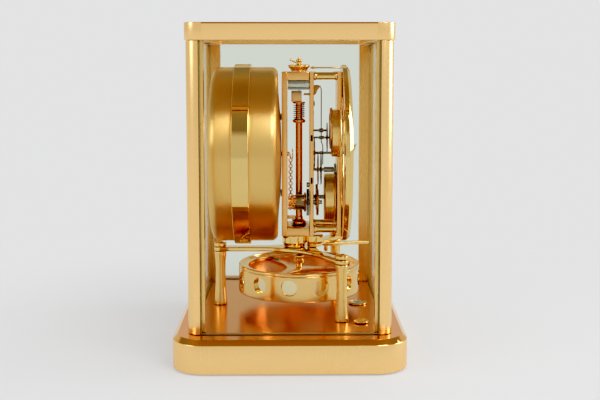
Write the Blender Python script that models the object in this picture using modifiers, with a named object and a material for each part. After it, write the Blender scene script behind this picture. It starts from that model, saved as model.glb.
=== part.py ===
"""Glazed table clock with a torsion balance, wound by a sealed bellows drum.

World frame: origin under the middle of the base, +Z up, the dial looks along -Y.
Sizes are in millimetres and are turned into Blender's metres by MM where a mesh is made.
"Front" distances (f) are measured from the middle of the case towards the dial, f = -Y.
"""
import math

import bmesh
import bpy

MM = 0.001
GAP = 0.3                      # clearance left between pieces that touch

# ---- Driving dimensions ----
HEIGHT = 235.0                 # base underside level to the top of the case
FLOOR_GAP = 0.8                # height of the plinth above the surface, on its feet
BASE_HALF_X = 103.0
BASE_HALF_Y = 80.4
BASE_CORNER = 22.7
BASE_TOP = 23.8
BASE_CHAMFER = 3.2
BASE_WALL = 3.0
CASE_HALF_X = 88.3             # outer faces of the corner posts
CASE_HALF_Y = 69.7
POST_WIDTH = 11.8
POST_RADIUS = 8.0
POST_REBATE = 3.0
PANE = 2.2
FRAME_HEIGHT = 11.8
FRAME_PROUD = 1.0
FRONT_LIFT = 6.0               # how far the front pane rises

AXIS_F = 6.9                   # balance, tube and regulator axis, towards the dial
PILLAR_RADIUS = 60.0           # of the circle the three pillars stand on
PLATFORM_LOW = 65.3
PLATFORM_TOP = 68.3
BALANCE_R = 45.9
BALANCE_LOW = 35.2
BALANCE_TOP = 56.4
BALANCE_HOLE_R = 5.95
BALANCE_HOLE_FLOOR = 43.0      # the bores in the rim are blind; radius of their flat floors
DRILL_LENGTH = 7.0
BALANCE_HOLES = 12
BALANCE_HOLE_START = 9.8       # degrees from -X towards +Y

MOVEMENT_HALF_X = 17.0
MOVEMENT_LOW = 79.0
MOVEMENT_TOP = 201.4
BRACKET_BACK_F = -6.0
BRACKET_FACE_F = -1.9
REAR_PLATE_F = (14.7, 17.6)
FRONT_PLATE_F = (35.1, 38.3)
DIAL_Z = 140.0
DIAL_R = 66.5
DIAL_HOLE_R = 42.0
DIAL_BACK_F = 38.6
DIAL_FRONT_F = 44.2

DRUM_Z = 139.3
DRUM_R = 65.4
DRUM_BACK_F = -57.7
DRUM_FRONT_F = -9.0
DRUM_SPLIT_F = -34.8
DRUM_WALL = 1.2

WINDING = (-14.0, 104.35)      # (x, z) of the arbors that lie along Y
BARREL = (6.0, 105.6)
SECOND = (-5.5, 127.96)
CENTRE = (0.0, DIAL_Z)
ESCAPE = (6.0, 151.2)
PALLET = (-3.0, 157.3)
ESCAPE_COVER = (-12.0, 155.9)
SPOOL_SEAT_R = 3.3
CHAIN_OFFSET = 4.8             # chain centre line from the spool axis

# ---- Colours (base colour, roughness, metallic) ----
FINISHES = {
    "satin_gilt": ((0.80, 0.58, 0.28), 0.35, 1.0),
    "polished_gilt": ((0.90, 0.66, 0.30), 0.08, 1.0),
    "gilt_movement": ((0.86, 0.60, 0.26), 0.20, 1.0),
    "copper_tube": ((0.72, 0.40, 0.18), 0.22, 1.0),
    "steel": ((0.45, 0.45, 0.46), 0.25, 1.0),
    "blued_wire": ((0.20, 0.17, 0.14), 0.30, 1.0),
    "glass": ((0.90, 0.93, 0.90), 0.02, 0.0),
    "dark_cover": ((0.05, 0.05, 0.05), 0.60, 0.0),
}

PARTS = bpy.data.collections.new("anniversary_clock")
CUTTERS = bpy.data.collections.new("cutters")


# ---- Helpers ----
def clear_scene():
    for thing in list(bpy.data.objects):
        bpy.data.objects.remove(thing, do_unlink=True)
    bpy.context.scene.collection.children.link(PARTS)
    bpy.context.scene.collection.children.link(CUTTERS)


def finish_material(name):
    found = bpy.data.materials.get(name)
    if found:
        return found
    colour, roughness, metallic = FINISHES[name]
    made = bpy.data.materials.new(name)
    made.use_nodes = True
    shader = made.node_tree.nodes["Principled BSDF"]
    shader.inputs["Base Color"].default_value = (*colour, 1.0)
    shader.inputs["Roughness"].default_value = roughness
    shader.inputs["Metallic"].default_value = metallic
    return made


def place(thing, finish):
    """Link a new object as a part, or as a hidden tool when it has no finish."""
    if finish is None:
        CUTTERS.objects.link(thing)
        thing.hide_render = True
        thing.display_type = "WIRE"
        return thing
    PARTS.objects.link(thing)
    thing.data.materials.clear()
    thing.data.materials.append(finish_material(finish))
    thing.data.shade_smooth()
    thing.data.set_sharp_from_angle(angle=math.radians(35))
    return thing


def boolean(thing, tool, operation="DIFFERENCE"):
    step = thing.modifiers.new(tool.name, "BOOLEAN")
    step.object = tool
    step.operation = operation
    step.solver = "EXACT"
    return thing


def block(name, low, high, finish):
    """A box between two corners (x, y, z)."""
    mesh = bpy.data.meshes.new(name)
    shape = bmesh.new()
    bmesh.ops.create_cube(shape, size=1.0)
    for vertex in shape.verts:
        for i in range(3):
            middle = (low[i] + high[i]) / 2
            vertex.co[i] = (middle + vertex.co[i] * (high[i] - low[i])) * MM
    shape.to_mesh(mesh)
    shape.free()
    return place(bpy.data.objects.new(name, mesh), finish)


def turned(name, profile, finish, at=(0.0, 0.0, 0.0), front=False, steps=32, closed=False):
    """A turned piece. profile is (radius, height) down the outer side, from the top.

    With front=True the axis lies along Y, and heights are front distances f.
    """
    mesh = bpy.data.meshes.new(name)
    shape = bmesh.new()
    points = [shape.verts.new((r * MM, 0.0, h * MM)) for r, h in profile]
    for first, second in zip(points, points[1:]):
        shape.edges.new((first, second))
    if closed:
        shape.edges.new((points[-1], points[0]))
    shape.to_mesh(mesh)
    shape.free()
    thing = place(bpy.data.objects.new(name, mesh), finish)
    thing.location = [value * MM for value in at]
    if front:
        thing.rotation_euler = (math.pi / 2, 0.0, 0.0)
    screw = thing.modifiers.new("turn", "SCREW")
    screw.steps = steps
    screw.render_steps = steps
    screw.use_merge_vertices = True
    screw.merge_threshold = 0.00001
    screw.use_smooth_shade = True
    return thing


def rod(name, radius, low, high, finish, at=(0.0, 0.0, 0.0), front=False, steps=16):
    profile = [(0, high), (radius, high), (radius, low), (0, low)]
    return turned(name, profile, finish, at, front, steps)


def plate(name, outline, low, high, finish, holes=(), facing="UP", at=(0.0, 0.0)):
    """A flat piece from an outline and hole outlines.

    facing UP: outline in (x, y), thickness in z. FRONT: outline in (x, z), thickness in f.
    SIDE: outline in (y, z), thickness in x.
    """
    curve = bpy.data.curves.new(name, "CURVE")
    curve.dimensions = "2D"
    curve.fill_mode = "BOTH"
    curve.extrude = (high - low) / 2 * MM
    for loop in (outline, *holes):
        spline = curve.splines.new("POLY")
        spline.points.add(len(loop) - 1)
        for point, (u, v) in zip(spline.points, loop):
            point.co = (u * MM, v * MM, 0.0, 1.0)
        spline.use_cyclic_u = True
    flat = bpy.data.objects.new(name + "_outline", curve)
    bpy.context.scene.collection.objects.link(flat)
    bpy.context.view_layer.update()
    evaluated = flat.evaluated_get(bpy.context.evaluated_depsgraph_get())
    mesh = bpy.data.meshes.new_from_object(evaluated)
    bpy.data.objects.remove(flat)
    welded = bmesh.new()
    welded.from_mesh(mesh)
    bmesh.ops.remove_doubles(welded, verts=welded.verts, dist=0.000001)
    bmesh.ops.recalc_face_normals(welded, faces=welded.faces)
    welded.to_mesh(mesh)
    welded.free()
    mesh.name = name
    thing = place(bpy.data.objects.new(name, mesh), finish)
    middle = (low + high) / 2
    if facing == "UP":
        thing.location = (at[0] * MM, at[1] * MM, middle * MM)
    elif facing == "FRONT":
        thing.rotation_euler = (math.pi / 2, 0.0, 0.0)
        thing.location = (at[0] * MM, -middle * MM, at[1] * MM)
    else:
        thing.rotation_euler = (math.pi / 2, 0.0, math.pi / 2)
        thing.location = (middle * MM, at[0] * MM, at[1] * MM)
    return thing


def wire(name, points, radius, finish, sides=8):
    """A round wire through points (x, y, z); its sides count is a multiple of 4."""
    curve = bpy.data.curves.new(name, "CURVE")
    curve.dimensions = "3D"
    curve.bevel_depth = radius * MM
    curve.bevel_resolution = sides // 2 - 2
    curve.use_fill_caps = True
    spline = curve.splines.new("POLY")
    spline.points.add(len(points) - 1)
    for point, place_mm in zip(spline.points, points):
        point.co = (*[value * MM for value in place_mm], 1.0)
    thing = bpy.data.objects.new(name, curve)
    PARTS.objects.link(thing)
    curve.materials.append(finish_material(finish))
    return thing


def arc(centre, radius, start, end, steps):
    """Points on an arc, angles in degrees, ends included."""
    points = []
    for i in range(steps + 1):
        angle = math.radians(start + (end - start) * i / steps)
        points.append((centre[0] + radius * math.cos(angle), centre[1] + radius * math.sin(angle)))
    return points


def circle(centre, radius, steps=24):
    return arc(centre, radius, 0, 360, steps)[:-1]


def rounded_rectangle(half_x, half_y, radius, steps=8):
    points = []
    for sign_x, sign_y, start in ((1, 1, 0), (-1, 1, 90), (-1, -1, 180), (1, -1, 270)):
        centre = (sign_x * (half_x - radius), sign_y * (half_y - radius))
        points += arc(centre, radius, start, start + 90, steps)
    return points


def capsule(first, first_r, second, second_r, steps=6):
    """Outline of a link with a round end at each of two points."""
    heading = math.degrees(math.atan2(second[1] - first[1], second[0] - first[0]))
    points = arc(second, second_r, heading - 90, heading + 90, steps)
    return points + arc(first, first_r, heading + 90, heading + 270, steps)


def star(reach, half_width, waist, first_arm, steps=8):
    """Three round-ended arms joined by hollow arcs that pass waist from the middle."""
    half = math.sin(math.radians(60))
    centre_r = (waist - half_width) / (1 - half)
    arc_r = centre_r - waist
    points = []
    for arm in range(3):
        heading = first_arm + 120 * arm
        tip = (reach * math.cos(math.radians(heading)), reach * math.sin(math.radians(heading)))
        points += arc(tip, half_width, heading - 90, heading + 90, 6)
        between = math.radians(heading + 60)
        centre = (centre_r * math.cos(between), centre_r * math.sin(between))
        points += arc(centre, arc_r, heading + 270, heading + 210, steps)
    return points


def toothed(tip_r, depth, teeth, lean=0.0):
    """Outline of a wheel with pointed teeth; lean 1 gives a ratchet's saw teeth."""
    points = []
    for i in range(teeth):
        root = 2 * math.pi * i / teeth
        tip = root + math.pi / teeth * (1 + lean * 0.9)
        points.append(((tip_r - depth) * math.cos(root), (tip_r - depth) * math.sin(root)))
        points.append((tip_r * math.cos(tip), tip_r * math.sin(tip)))
    return points


def helix(centre, radius, low, high, turns, per_turn, along_y=False):
    points = []
    count = int(turns * per_turn)
    for i in range(count + 1):
        angle = 2 * math.pi * i / per_turn
        height = low + (high - low) * i / count
        a = radius * math.cos(angle)
        b = radius * math.sin(angle)
        if along_y:
            points.append((centre[0] + a, height, centre[1] + b))
        else:
            points.append((centre[0] + a, centre[1] + b, height))
    return points


def about_balance(angle, radius):
    turn = math.radians(angle)
    return (radius * math.cos(turn), -AXIS_F + radius * math.sin(turn))


# ---- Base ----
SCREW_X = 56.0
SCREW_Y = -50.6
LEVEL_Y = -52.0
FOOT_Y = 58.0
COVER_LOW = 4.0
COVER_TOP = 6.0
PILLAR_HEADINGS = (90, 210, 330)


def make_base():
    base = plate("base_plinth", rounded_rectangle(BASE_HALF_X, BASE_HALF_Y, BASE_CORNER, 7),
                 FLOOR_GAP, BASE_TOP, "satin_gilt")
    rim = base.modifiers.new("top chamfer", "BEVEL")
    rim.width = BASE_CHAMFER * MM
    rim.limit_method = "WEIGHT"
    weights = base.data.attributes.new("bevel_weight_edge", "FLOAT", "EDGE")
    top = (BASE_TOP - FLOOR_GAP) / 2 * MM
    for edge in base.data.edges:
        ends = [base.data.vertices[i].co.z for i in edge.vertices]
        weights.data[edge.index].value = 1.0 if min(ends) > top * 0.99 else 0.0
    hollow = plate("base_hollow", rounded_rectangle(BASE_HALF_X - BASE_WALL, BASE_HALF_Y - BASE_WALL,
                                                    BASE_CORNER - BASE_WALL, 4),
                   -5.0, BASE_TOP - 4.0, None)
    boolean(base, hollow)
    cover_r = BASE_CORNER - BASE_WALL - GAP
    cover_holes = [circle((side * SCREW_X, SCREW_Y), 2.9, 12) for side in (-1, 1)]
    for side, word in ((-1, "left"), (1, "right")):
        boolean(base, rod("screw_hole_" + word, 2.9, 15.0, 30.0, None, (side * SCREW_X, SCREW_Y, 0),
                          steps=12))
        profile = [(0, 25.7), (4.9, 25.7), (5.4, 25.3), (5.4, 24.5), (4.9, BASE_TOP + GAP),
                   (2.4, BASE_TOP + GAP), (2.4, 3.4), (7.5, 3.0), (8.0, 2.4), (7.4, 0), (0, 0)]
        turned("levelling_screw_" + word, profile, "polished_gilt", (side * SCREW_X, SCREW_Y, 0), steps=16)
    plate("base_cover", rounded_rectangle(BASE_HALF_X - BASE_WALL - GAP, BASE_HALF_Y - BASE_WALL - GAP,
                                          cover_r, 4),
          COVER_LOW, COVER_TOP, "dark_cover", cover_holes)
    foot = [(0, COVER_LOW - GAP), (8.0, COVER_LOW - GAP), (8.0, 0.8), (7.2, 0), (0, 0)]
    turned("rear_foot", foot, "dark_cover", (0, FOOT_Y, 0), steps=16)
    level = [(0, 24.6), (5.6, 24.6), (5.6, 25.2), (6.7, 25.2), (7.2, 24.8), (7.2, BASE_TOP + GAP),
             (0, BASE_TOP + GAP)]
    turned("spirit_level", level, "polished_gilt", (0, LEVEL_Y, 0), steps=20)


# ---- Case ----
POST_LOW = BASE_TOP + GAP
POST_TOP = HEIGHT - FRAME_HEIGHT - GAP
PANE_X = CASE_HALF_X - 0.8     # outer face of a side pane
PANE_Y = CASE_HALF_Y - 1.9     # outer face of the front and rear panes
PANE_HALF_Y = CASE_HALF_Y - POST_WIDTH + POST_REBATE - GAP
PANE_HALF_X = CASE_HALF_X - POST_WIDTH + POST_REBATE - GAP


def post_outline(sign_x, sign_y):
    """Corner post: round outside, a step on each flank that the panes rest in."""
    inner_x = CASE_HALF_X - POST_WIDTH
    inner_y = CASE_HALF_Y - POST_WIDTH
    step_x = PANE_X - PANE - GAP
    step_y = PANE_Y - PANE - GAP
    corner = arc((CASE_HALF_X - POST_RADIUS, CASE_HALF_Y - POST_RADIUS), POST_RADIUS, 0, 90, 5)
    points = [(inner_x, inner_y), (step_x, inner_y), (step_x, inner_y + POST_REBATE),
              (CASE_HALF_X, inner_y + POST_REBATE), *corner,
              (inner_x + POST_REBATE, CASE_HALF_Y), (inner_x + POST_REBATE, step_y), (inner_x, step_y)]
    return [(sign_x * x, sign_y * y) for x, y in points]


def make_case():
    for sign_x, side in ((-1, "left"), (1, "right")):
        for sign_y, end in ((-1, "front"), (1, "rear")):
            plate("post_" + end + "_" + side, post_outline(sign_x, sign_y), POST_LOW, POST_TOP, "satin_gilt")
    frame_low = HEIGHT - FRAME_HEIGHT
    half_x = CASE_HALF_X + 0.5
    half_y = CASE_HALF_Y + FRAME_PROUD
    opening_x = CASE_HALF_X - POST_WIDTH
    opening_y = CASE_HALF_Y - POST_WIDTH
    frame = plate("top_frame", rounded_rectangle(half_x, half_y, POST_RADIUS + FRAME_PROUD, 6),
                  frame_low, HEIGHT, "satin_gilt", [rounded_rectangle(opening_x, opening_y, 2.0, 2)])
    ledge = 2.6
    boolean(frame, block("top_ledge", (-opening_x - ledge, -opening_y - ledge, HEIGHT - 3.7),
                         (opening_x + ledge, opening_y + ledge, HEIGHT + 5), None))
    boolean(frame, block("front_groove", (-PANE_HALF_X - 0.4, -PANE_Y - GAP, frame_low - 5),
                         (PANE_HALF_X + 0.4, -PANE_Y + PANE + GAP, frame_low + FRONT_LIFT + 0.5), None))
    block("top_glass", (-opening_x - ledge + GAP, -opening_y - ledge + GAP, HEIGHT - 3.4),
          (opening_x + ledge - GAP, opening_y + ledge - GAP, HEIGHT - 1.2), "glass")
    for sign, side in ((-1, "left"), (1, "right")):
        faces = sorted((sign * PANE_X, sign * (PANE_X - PANE)))
        block(side + "_glass", (faces[0], -PANE_HALF_Y, POST_LOW), (faces[1], PANE_HALF_Y, POST_TOP), "glass")
    for sign, end in ((-1, "front"), (1, "rear")):
        faces = sorted((sign * PANE_Y, sign * (PANE_Y - PANE)))
        block(end + "_glass", (-PANE_HALF_X, faces[0], POST_LOW), (PANE_HALF_X, faces[1], POST_TOP), "glass")


# ---- Pillars, platform and pedestal ----
LEVER_PIVOT_R = 44.0
LEVER_PIVOT = about_balance(-30, LEVER_PIVOT_R)
LEVER_TIP = (45.0, -62.0)
LEVER_LOW = 61.9
LEVER_TOP = 64.4


def make_support():
    profile = [(0, PLATFORM_LOW - GAP), (4.3, PLATFORM_LOW - GAP), (4.6, 63.4), (4.0, 57.5), (3.7, 50.0),
               (3.9, 40.0), (4.5, 30.0), (5.0, 25.4), (5.0, BASE_TOP + GAP), (0, BASE_TOP + GAP)]
    for heading, where in zip(PILLAR_HEADINGS, ("rear", "front_left", "front_right")):
        x, y = about_balance(heading, PILLAR_RADIUS)
        turned("pillar_" + where, profile, "satin_gilt", (x, y, 0), steps=14)
    plate("support_platform", star(PILLAR_RADIUS, 4.8, 13.2, 90, 10), PLATFORM_LOW, PLATFORM_TOP,
          "polished_gilt", [circle((0, 0), 2.6, 16)], at=(0, -AXIS_F))
    boss = turned("pedestal", [(0, 78.2), (8.4, 78.2), (9.1, 77.5), (9.1, 71.6), (8.2, 70.2), (8.2, 68.6),
                               (0, 68.6)],
                  "polished_gilt", (0, -3.3, 0), steps=20)
    front = turned("front_boss", [(0, 77.6), (6.3, 77.6), (6.8, 77.1), (6.8, 72.4), (5.6, 71.2),
                                  (5.6, 68.6), (0, 68.6)],
                   None, (0, -18.6, 0), steps=14)
    boolean(boss, front, "UNION")
    boolean(boss, rod("pedestal_bore", 2.6, 60.0, 90.0, None, (0, -AXIS_F, 0)))
    lever = plate("lock_lever", capsule(LEVER_PIVOT, 3.4, LEVER_TIP, 1.9), LEVER_LOW, LEVER_TOP,
                  "polished_gilt")
    stud = rod("lever_stud", 1.8, BALANCE_TOP + 0.9, LEVER_LOW + 0.5, None, (*LEVER_PIVOT, 0))
    boolean(lever, stud, "UNION")


# ---- Balance and its suspension ----
TUBE_LOW = 85.3
TUBE_TOP = 187.0


def make_balance():
    inner = BALANCE_R - 4.3
    profile = [(43.4, BALANCE_TOP), (45.2, BALANCE_TOP), (BALANCE_R, BALANCE_TOP - 0.8),
               (BALANCE_R, BALANCE_LOW + 0.6), (45.3, BALANCE_LOW), (inner, BALANCE_LOW),
               (inner, 52.4), (38.4, 52.4), (38.4, 55.6), (43.4, 55.6)]
    ring = turned("balance_ring", profile, "polished_gilt", (0, -AXIS_F, 0), steps=36, closed=True)
    drills = bpy.data.meshes.new("ring_drills")
    shape = bmesh.new()
    for i in range(BALANCE_HOLES):
        angle = math.radians(180 - BALANCE_HOLE_START - 360 / BALANCE_HOLES * i)
        made = bmesh.ops.create_cone(shape, cap_ends=True, segments=12, radius1=BALANCE_HOLE_R * MM,
                                     radius2=BALANCE_HOLE_R * MM, depth=DRILL_LENGTH * MM)
        for vertex in made["verts"]:
            x, y, z = vertex.co
            out = z + (BALANCE_HOLE_FLOOR + DRILL_LENGTH / 2) * MM
            vertex.co = (out * math.cos(angle) - x * math.sin(angle),
                         out * math.sin(angle) + x * math.cos(angle), y)
    bmesh.ops.recalc_face_normals(shape, faces=shape.faces)
    shape.to_mesh(drills)
    shape.free()
    tool = place(bpy.data.objects.new("ring_drills", drills), None)
    tool.location = (0, -AXIS_F * MM, (BALANCE_LOW + BALANCE_TOP) / 2 * MM)
    boolean(ring, tool)
    plate("balance_spider", star(37.9, 3.4, 9.5, 30, 6), 49.2, 52.1, "gilt_movement", at=(0, -AXIS_F))
    staff = [(0, TUBE_LOW - GAP), (1.6, TUBE_LOW - GAP), (1.6, 62.4), (4.2, 61.6), (4.2, 56.2), (2.4, 55.4),
             (2.4, 52.4), (0, 52.4)]
    turned("balance_staff", staff, "gilt_movement", (0, -AXIS_F, 0), steps=16)


def make_suspension():
    axis = (0, -AXIS_F, 0)
    profile = [(0, TUBE_TOP), (2.3, TUBE_TOP), (2.3, 178.9), (4.7, 178.6), (4.7, 177.5), (2.5, 177.5),
               (2.5, 165.6), (4.75, 165.6), (4.75, 162.9), (2.5, 162.9), (2.5, 88.7), (5.2, 88.7),
               (5.2, 86.2), (5.9, 86.2), (5.9, TUBE_LOW), (0, TUBE_LOW)]
    tube = turned("suspension_tube", profile, "copper_tube", axis, steps=12)
    head = plate("tube_head", [(-8.8, 179.2), (-1.2, 179.2), (-1.2, TUBE_TOP), (-8.8, TUBE_TOP)], -2.6, 2.6,
                 None,
                 [[(-4.4, 181.0), (-3.0, 181.0), (-3.0, 185.9), (-4.4, 185.9)]], facing="SIDE")
    boolean(tube, head, "UNION")
    boolean(tube, rod("tube_bore", 1.1, 70.0, 200.0, None, axis, steps=12))
    wire("suspension_spring", helix((0, -AXIS_F), 3.75, 166.3, 176.8, 6.5, 8), 0.35, "steel", 4)
    block("suspension_clamp", (-16.0, -14.3, 188.3), (16.0, 1.5, 194.8), "steel")
    rod("torsion_wire", 0.3, TUBE_LOW + 2, 188.0, "steel", axis, steps=6)
    wheel = [(0, 212.4), (0.7, 212.2), (1.0, 210.8), (2.35, 210.2), (2.35, 207.0), (8.0, 206.6),
             (8.25, 206.2),
             (8.25, 204.4), (5.8, 202.6), (5.8, MOVEMENT_TOP + GAP), (0, MOVEMENT_TOP + GAP)]
    turned("regulator_wheel", wheel, "polished_gilt", axis, steps=16)
    rod("regulator_rod", 0.5, 15.5, 38.2, "polished_gilt", (0, 0, 204.3), True, 8)


# ---- Movement frame ----
def upright(half_x=MOVEMENT_HALF_X):
    low, high = MOVEMENT_LOW, MOVEMENT_TOP
    return [(-half_x, low), (half_x, low), (half_x, high), (-half_x, high)]


def make_frame():
    back, face = -BRACKET_BACK_F, -BRACKET_FACE_F
    front = -REAR_PLATE_F[0] + GAP
    low, high = MOVEMENT_LOW, MOVEMENT_TOP
    outline = [(back, low), (back, high), (front, high), (front, high - 6.3), (face, high - 6.3),
               (face, low + 6.0), (front, low + 6.0), (front, low)]
    bracket = plate("rear_bracket", outline[::-1], -MOVEMENT_HALF_X, MOVEMENT_HALF_X, "gilt_movement",
                    facing="SIDE")
    boolean(bracket, rod("staff_bore", 2.3, 60.0, 90.0, None, (0, -AXIS_F, 0)))
    boolean(bracket, rod("push_pin_bore", 2.6, -10.0, 5.0, None, (0, 0, DRUM_Z), True))
    arbor_holes = [circle(WINDING, 1.9, 12)]
    slot = [(PALLET[0] - 3.4, 182.0), (PALLET[0] + 3.4, 182.0), (PALLET[0] + 3.4, 187.0),
            (PALLET[0] - 3.4, 187.0)]
    plate("rear_plate", upright(), *REAR_PLATE_F, "gilt_movement", [*arbor_holes, slot], facing="FRONT")
    plate_front = plate("front_plate", upright(), *FRONT_PLATE_F, "gilt_movement",
                        [circle(CENTRE, 2.4, 12), circle(BARREL, 1.6, 12)], facing="FRONT")
    boolean(plate_front, rod("cover_notch", 18.0, 20.0, 50.0, None, (ESCAPE_COVER[0], 0, ESCAPE_COVER[1]),
                             True, 24))
    for z, level in ((198.2, "top"), (84.1, "bottom")):
        for x, side in ((-14.2, "left"), (14.2, "right")):
            rod("plate_pillar_" + level + "_" + side, 2.8, REAR_PLATE_F[1] + GAP, FRONT_PLATE_F[0] - GAP,
                "polished_gilt", (x, 0, z), True, 14)


# ---- Going train, winding work and escapement ----
def wheel_on_arbor(name, axis, arbor, wheels, finish):
    """One arbor (radius, f from, f to) with toothed wheels (tip, depth, teeth, f from, f to)."""
    x, z = axis
    body = rod(name, arbor[0], arbor[1], arbor[2], finish, (x, 0, z), True, 10)
    for i, (tip, depth, teeth, f_low, f_high) in enumerate(wheels):
        tool = plate(name + "_wheel_" + str(i), toothed(tip, depth, teeth), f_low, f_high, None,
                     facing="FRONT", at=(x, z))
        boolean(body, tool, "UNION")
    return body


def make_train():
    back = REAR_PLATE_F[1] + GAP
    front = FRONT_PLATE_F[0] - GAP
    x, z = WINDING
    wheel_on_arbor("winding_gear", WINDING, (1.4, 2.0, 24.0), [(9.8, 0.8, 28, 19.7, 21.3)], "copper_tube")
    plate("ratchet_wheel", toothed(9.9, 1.0, 30, 1.0), 12.5, 14.3, "steel", [circle((0, 0), 1.75, 12)],
          facing="FRONT", at=WINDING)
    spool = [(2.0, 12.0), (7.3, 12.0), (7.3, 10.6), (5.6, 10.4), (5.6, 4.4), (SPOOL_SEAT_R, 3.4),
             (SPOOL_SEAT_R, -1.2), (2.0, -1.2)]
    turned("winding_drum", spool, "gilt_movement", (x, 0, z), True, 14, closed=True)
    rod("winding_chain", 1.1, 109.6, 137.4, "gilt_movement", (x + CHAIN_OFFSET, -0.5, 0), steps=8)
    plate("click", capsule((x - 1.0, z + 13.2), 1.8, (x + 6.4, z + 11.4), 0.6, 4), 12.5, 14.3, "steel",
          facing="FRONT")
    can = [(16.9, 34.7), (19.9, 34.7), (19.9, 33.4), (18.1, 33.2), (18.1, 26.5), (17.5, 25.9), (2.2, 25.9),
           (2.2, 27.1), (16.9, 27.1)]
    turned("mainspring_barrel", can, "satin_gilt", (BARREL[0], 0, BARREL[1]), True, 24, closed=True)
    spiral = []
    for side, radius_shift in ((1, 0.35), (-1, -0.35)):
        edge = []
        for i in range(43):
            angle = 2 * math.pi * i / 14
            r = 5.0 + 10.4 * i / 42 + radius_shift
            edge.append((r * math.cos(angle), r * math.sin(angle)))
        spiral += edge if side == 1 else edge[::-1]
    plate("mainspring", spiral, 27.5, 33.6, "steel", facing="FRONT", at=BARREL)
    wheel_on_arbor("barrel_arbor", BARREL, (1.45, back, 38.0),
                   [(9.7, 0.8, 28, 19.7, 21.3), (3.9, 0.4, 12, 27.6, 33.4)],
                   "steel")
    wheel_on_arbor("second_wheel", SECOND, (0.8, back, front),
                   [(11.6, 0.8, 30, 20.8, 21.5), (4.6, 0.7, 12, 33.3, 34.6), (11.3, 0.8, 30, 23.1, 23.6)],
                   "copper_tube")
    wheel_on_arbor("centre_wheel", CENTRE, (0.9, back, 44.6), [(11.0, 0.7, 36, 18.4, 18.9)], "copper_tube")
    wheel_on_arbor("escape_wheel", ESCAPE, (0.7, back, front), [(11.4, 1.8, 24, 28.0, 28.8)], "steel")


def make_escapement():
    x, z = PALLET
    lever = rod("pallet_lever", 0.7, REAR_PLATE_F[1] + GAP, 27.6, "blued_wire", (x, 0, z), True, 8)
    strip = plate("lever_strip", [(-24.4, 131.5), (-24.4, 145.5), (-23.2, 148.5), (-23.2, 190.6),
                                  (-19.4, 190.6),
                                  (-19.4, 183.6), (-10.3, 183.6), (-10.3, 185.4), (-18.0, 185.4),
                                  (-18.0, 191.4),
                                  (-24.1, 191.4), (-24.1, 148.9), (-25.3, 145.9), (-25.3, 131.5)],
                  x - 0.6, x + 0.6, None, facing="SIDE")
    boolean(lever, strip, "UNION")
    cx, cz = ESCAPE_COVER
    cup = [(0, 38.2), (16.4, 38.2), (17.6, 37.0), (17.6, 31.0), (16.6, 31.0), (16.6, 36.6), (16.0, 37.2),
           (0, 37.2)]
    cover = turned("escapement_cover", cup, "satin_gilt", (cx, 0, cz), True, 20)
    flange_at = (cx, cz + 3.6)
    flange = plate("cover_flange", circle(flange_at, 15.4, 20), 29.6, 31.4, None,
                   [circle(flange_at, 12.0, 16)],
                   facing="FRONT")
    boolean(cover, flange, "UNION")


# ---- Dial and hands ----
HOUR_ANGLE = 53.5              # the hands stand at about thirteen minutes to two
MINUTE_ANGLE = 282.0


def hand_outline(length, half_width, tail, boss_r, angle):
    heading = math.radians(90 - angle)
    leaf = [(-tail, 0.8), (-boss_r * 0.9, 1.0)]
    blade = [(boss_r, half_width * 0.6), (length * 0.35, half_width), (length, 0.15)]
    upper = leaf + [(0, boss_r)] + blade
    lower = [(a, -b) for a, b in reversed(upper)]
    turn = [(a * math.cos(heading) - b * math.sin(heading), a * math.sin(heading) + b * math.cos(heading))
            for a, b in upper + lower]
    return turn


def make_dial():
    front, back = DIAL_FRONT_F, DIAL_BACK_F
    ring = [(DIAL_HOLE_R + 1.0, front - 0.8), (62.0, front - 0.8), (62.6, front), (63.6, front),
            (DIAL_R, front - 2.6), (DIAL_R, back), (DIAL_HOLE_R, back), (DIAL_HOLE_R, front - 1.8)]
    turned("dial_ring", ring, "polished_gilt", (0, 0, DIAL_Z), True, 40, closed=True)
    hour = plate("hour_hand", hand_outline(33.0, 3.0, 6.0, 3.6, HOUR_ANGLE), 45.0, 45.7, "gilt_movement",
                 facing="FRONT", at=(0, DIAL_Z))
    boolean(hour, rod("hour_hand_bore", 1.3, 40.0, 50.0, None, (0, 0, DIAL_Z), True, 12))
    minute = plate("minute_hand", hand_outline(54.0, 2.7, 9.0, 3.0, MINUTE_ANGLE), 46.3, 47.0,
                   "gilt_movement",
                   facing="FRONT", at=(0, DIAL_Z))
    cap = turned("minute_boss", [(0, 48.4), (1.6, 48.4), (2.2, 47.8), (2.2, 46.6), (0.9, 46.5), (0.9, 44.9),
                                 (0, 44.9)],
                 None, (0, 0, DIAL_Z), True, 12)
    boolean(minute, cap, "UNION")


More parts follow.
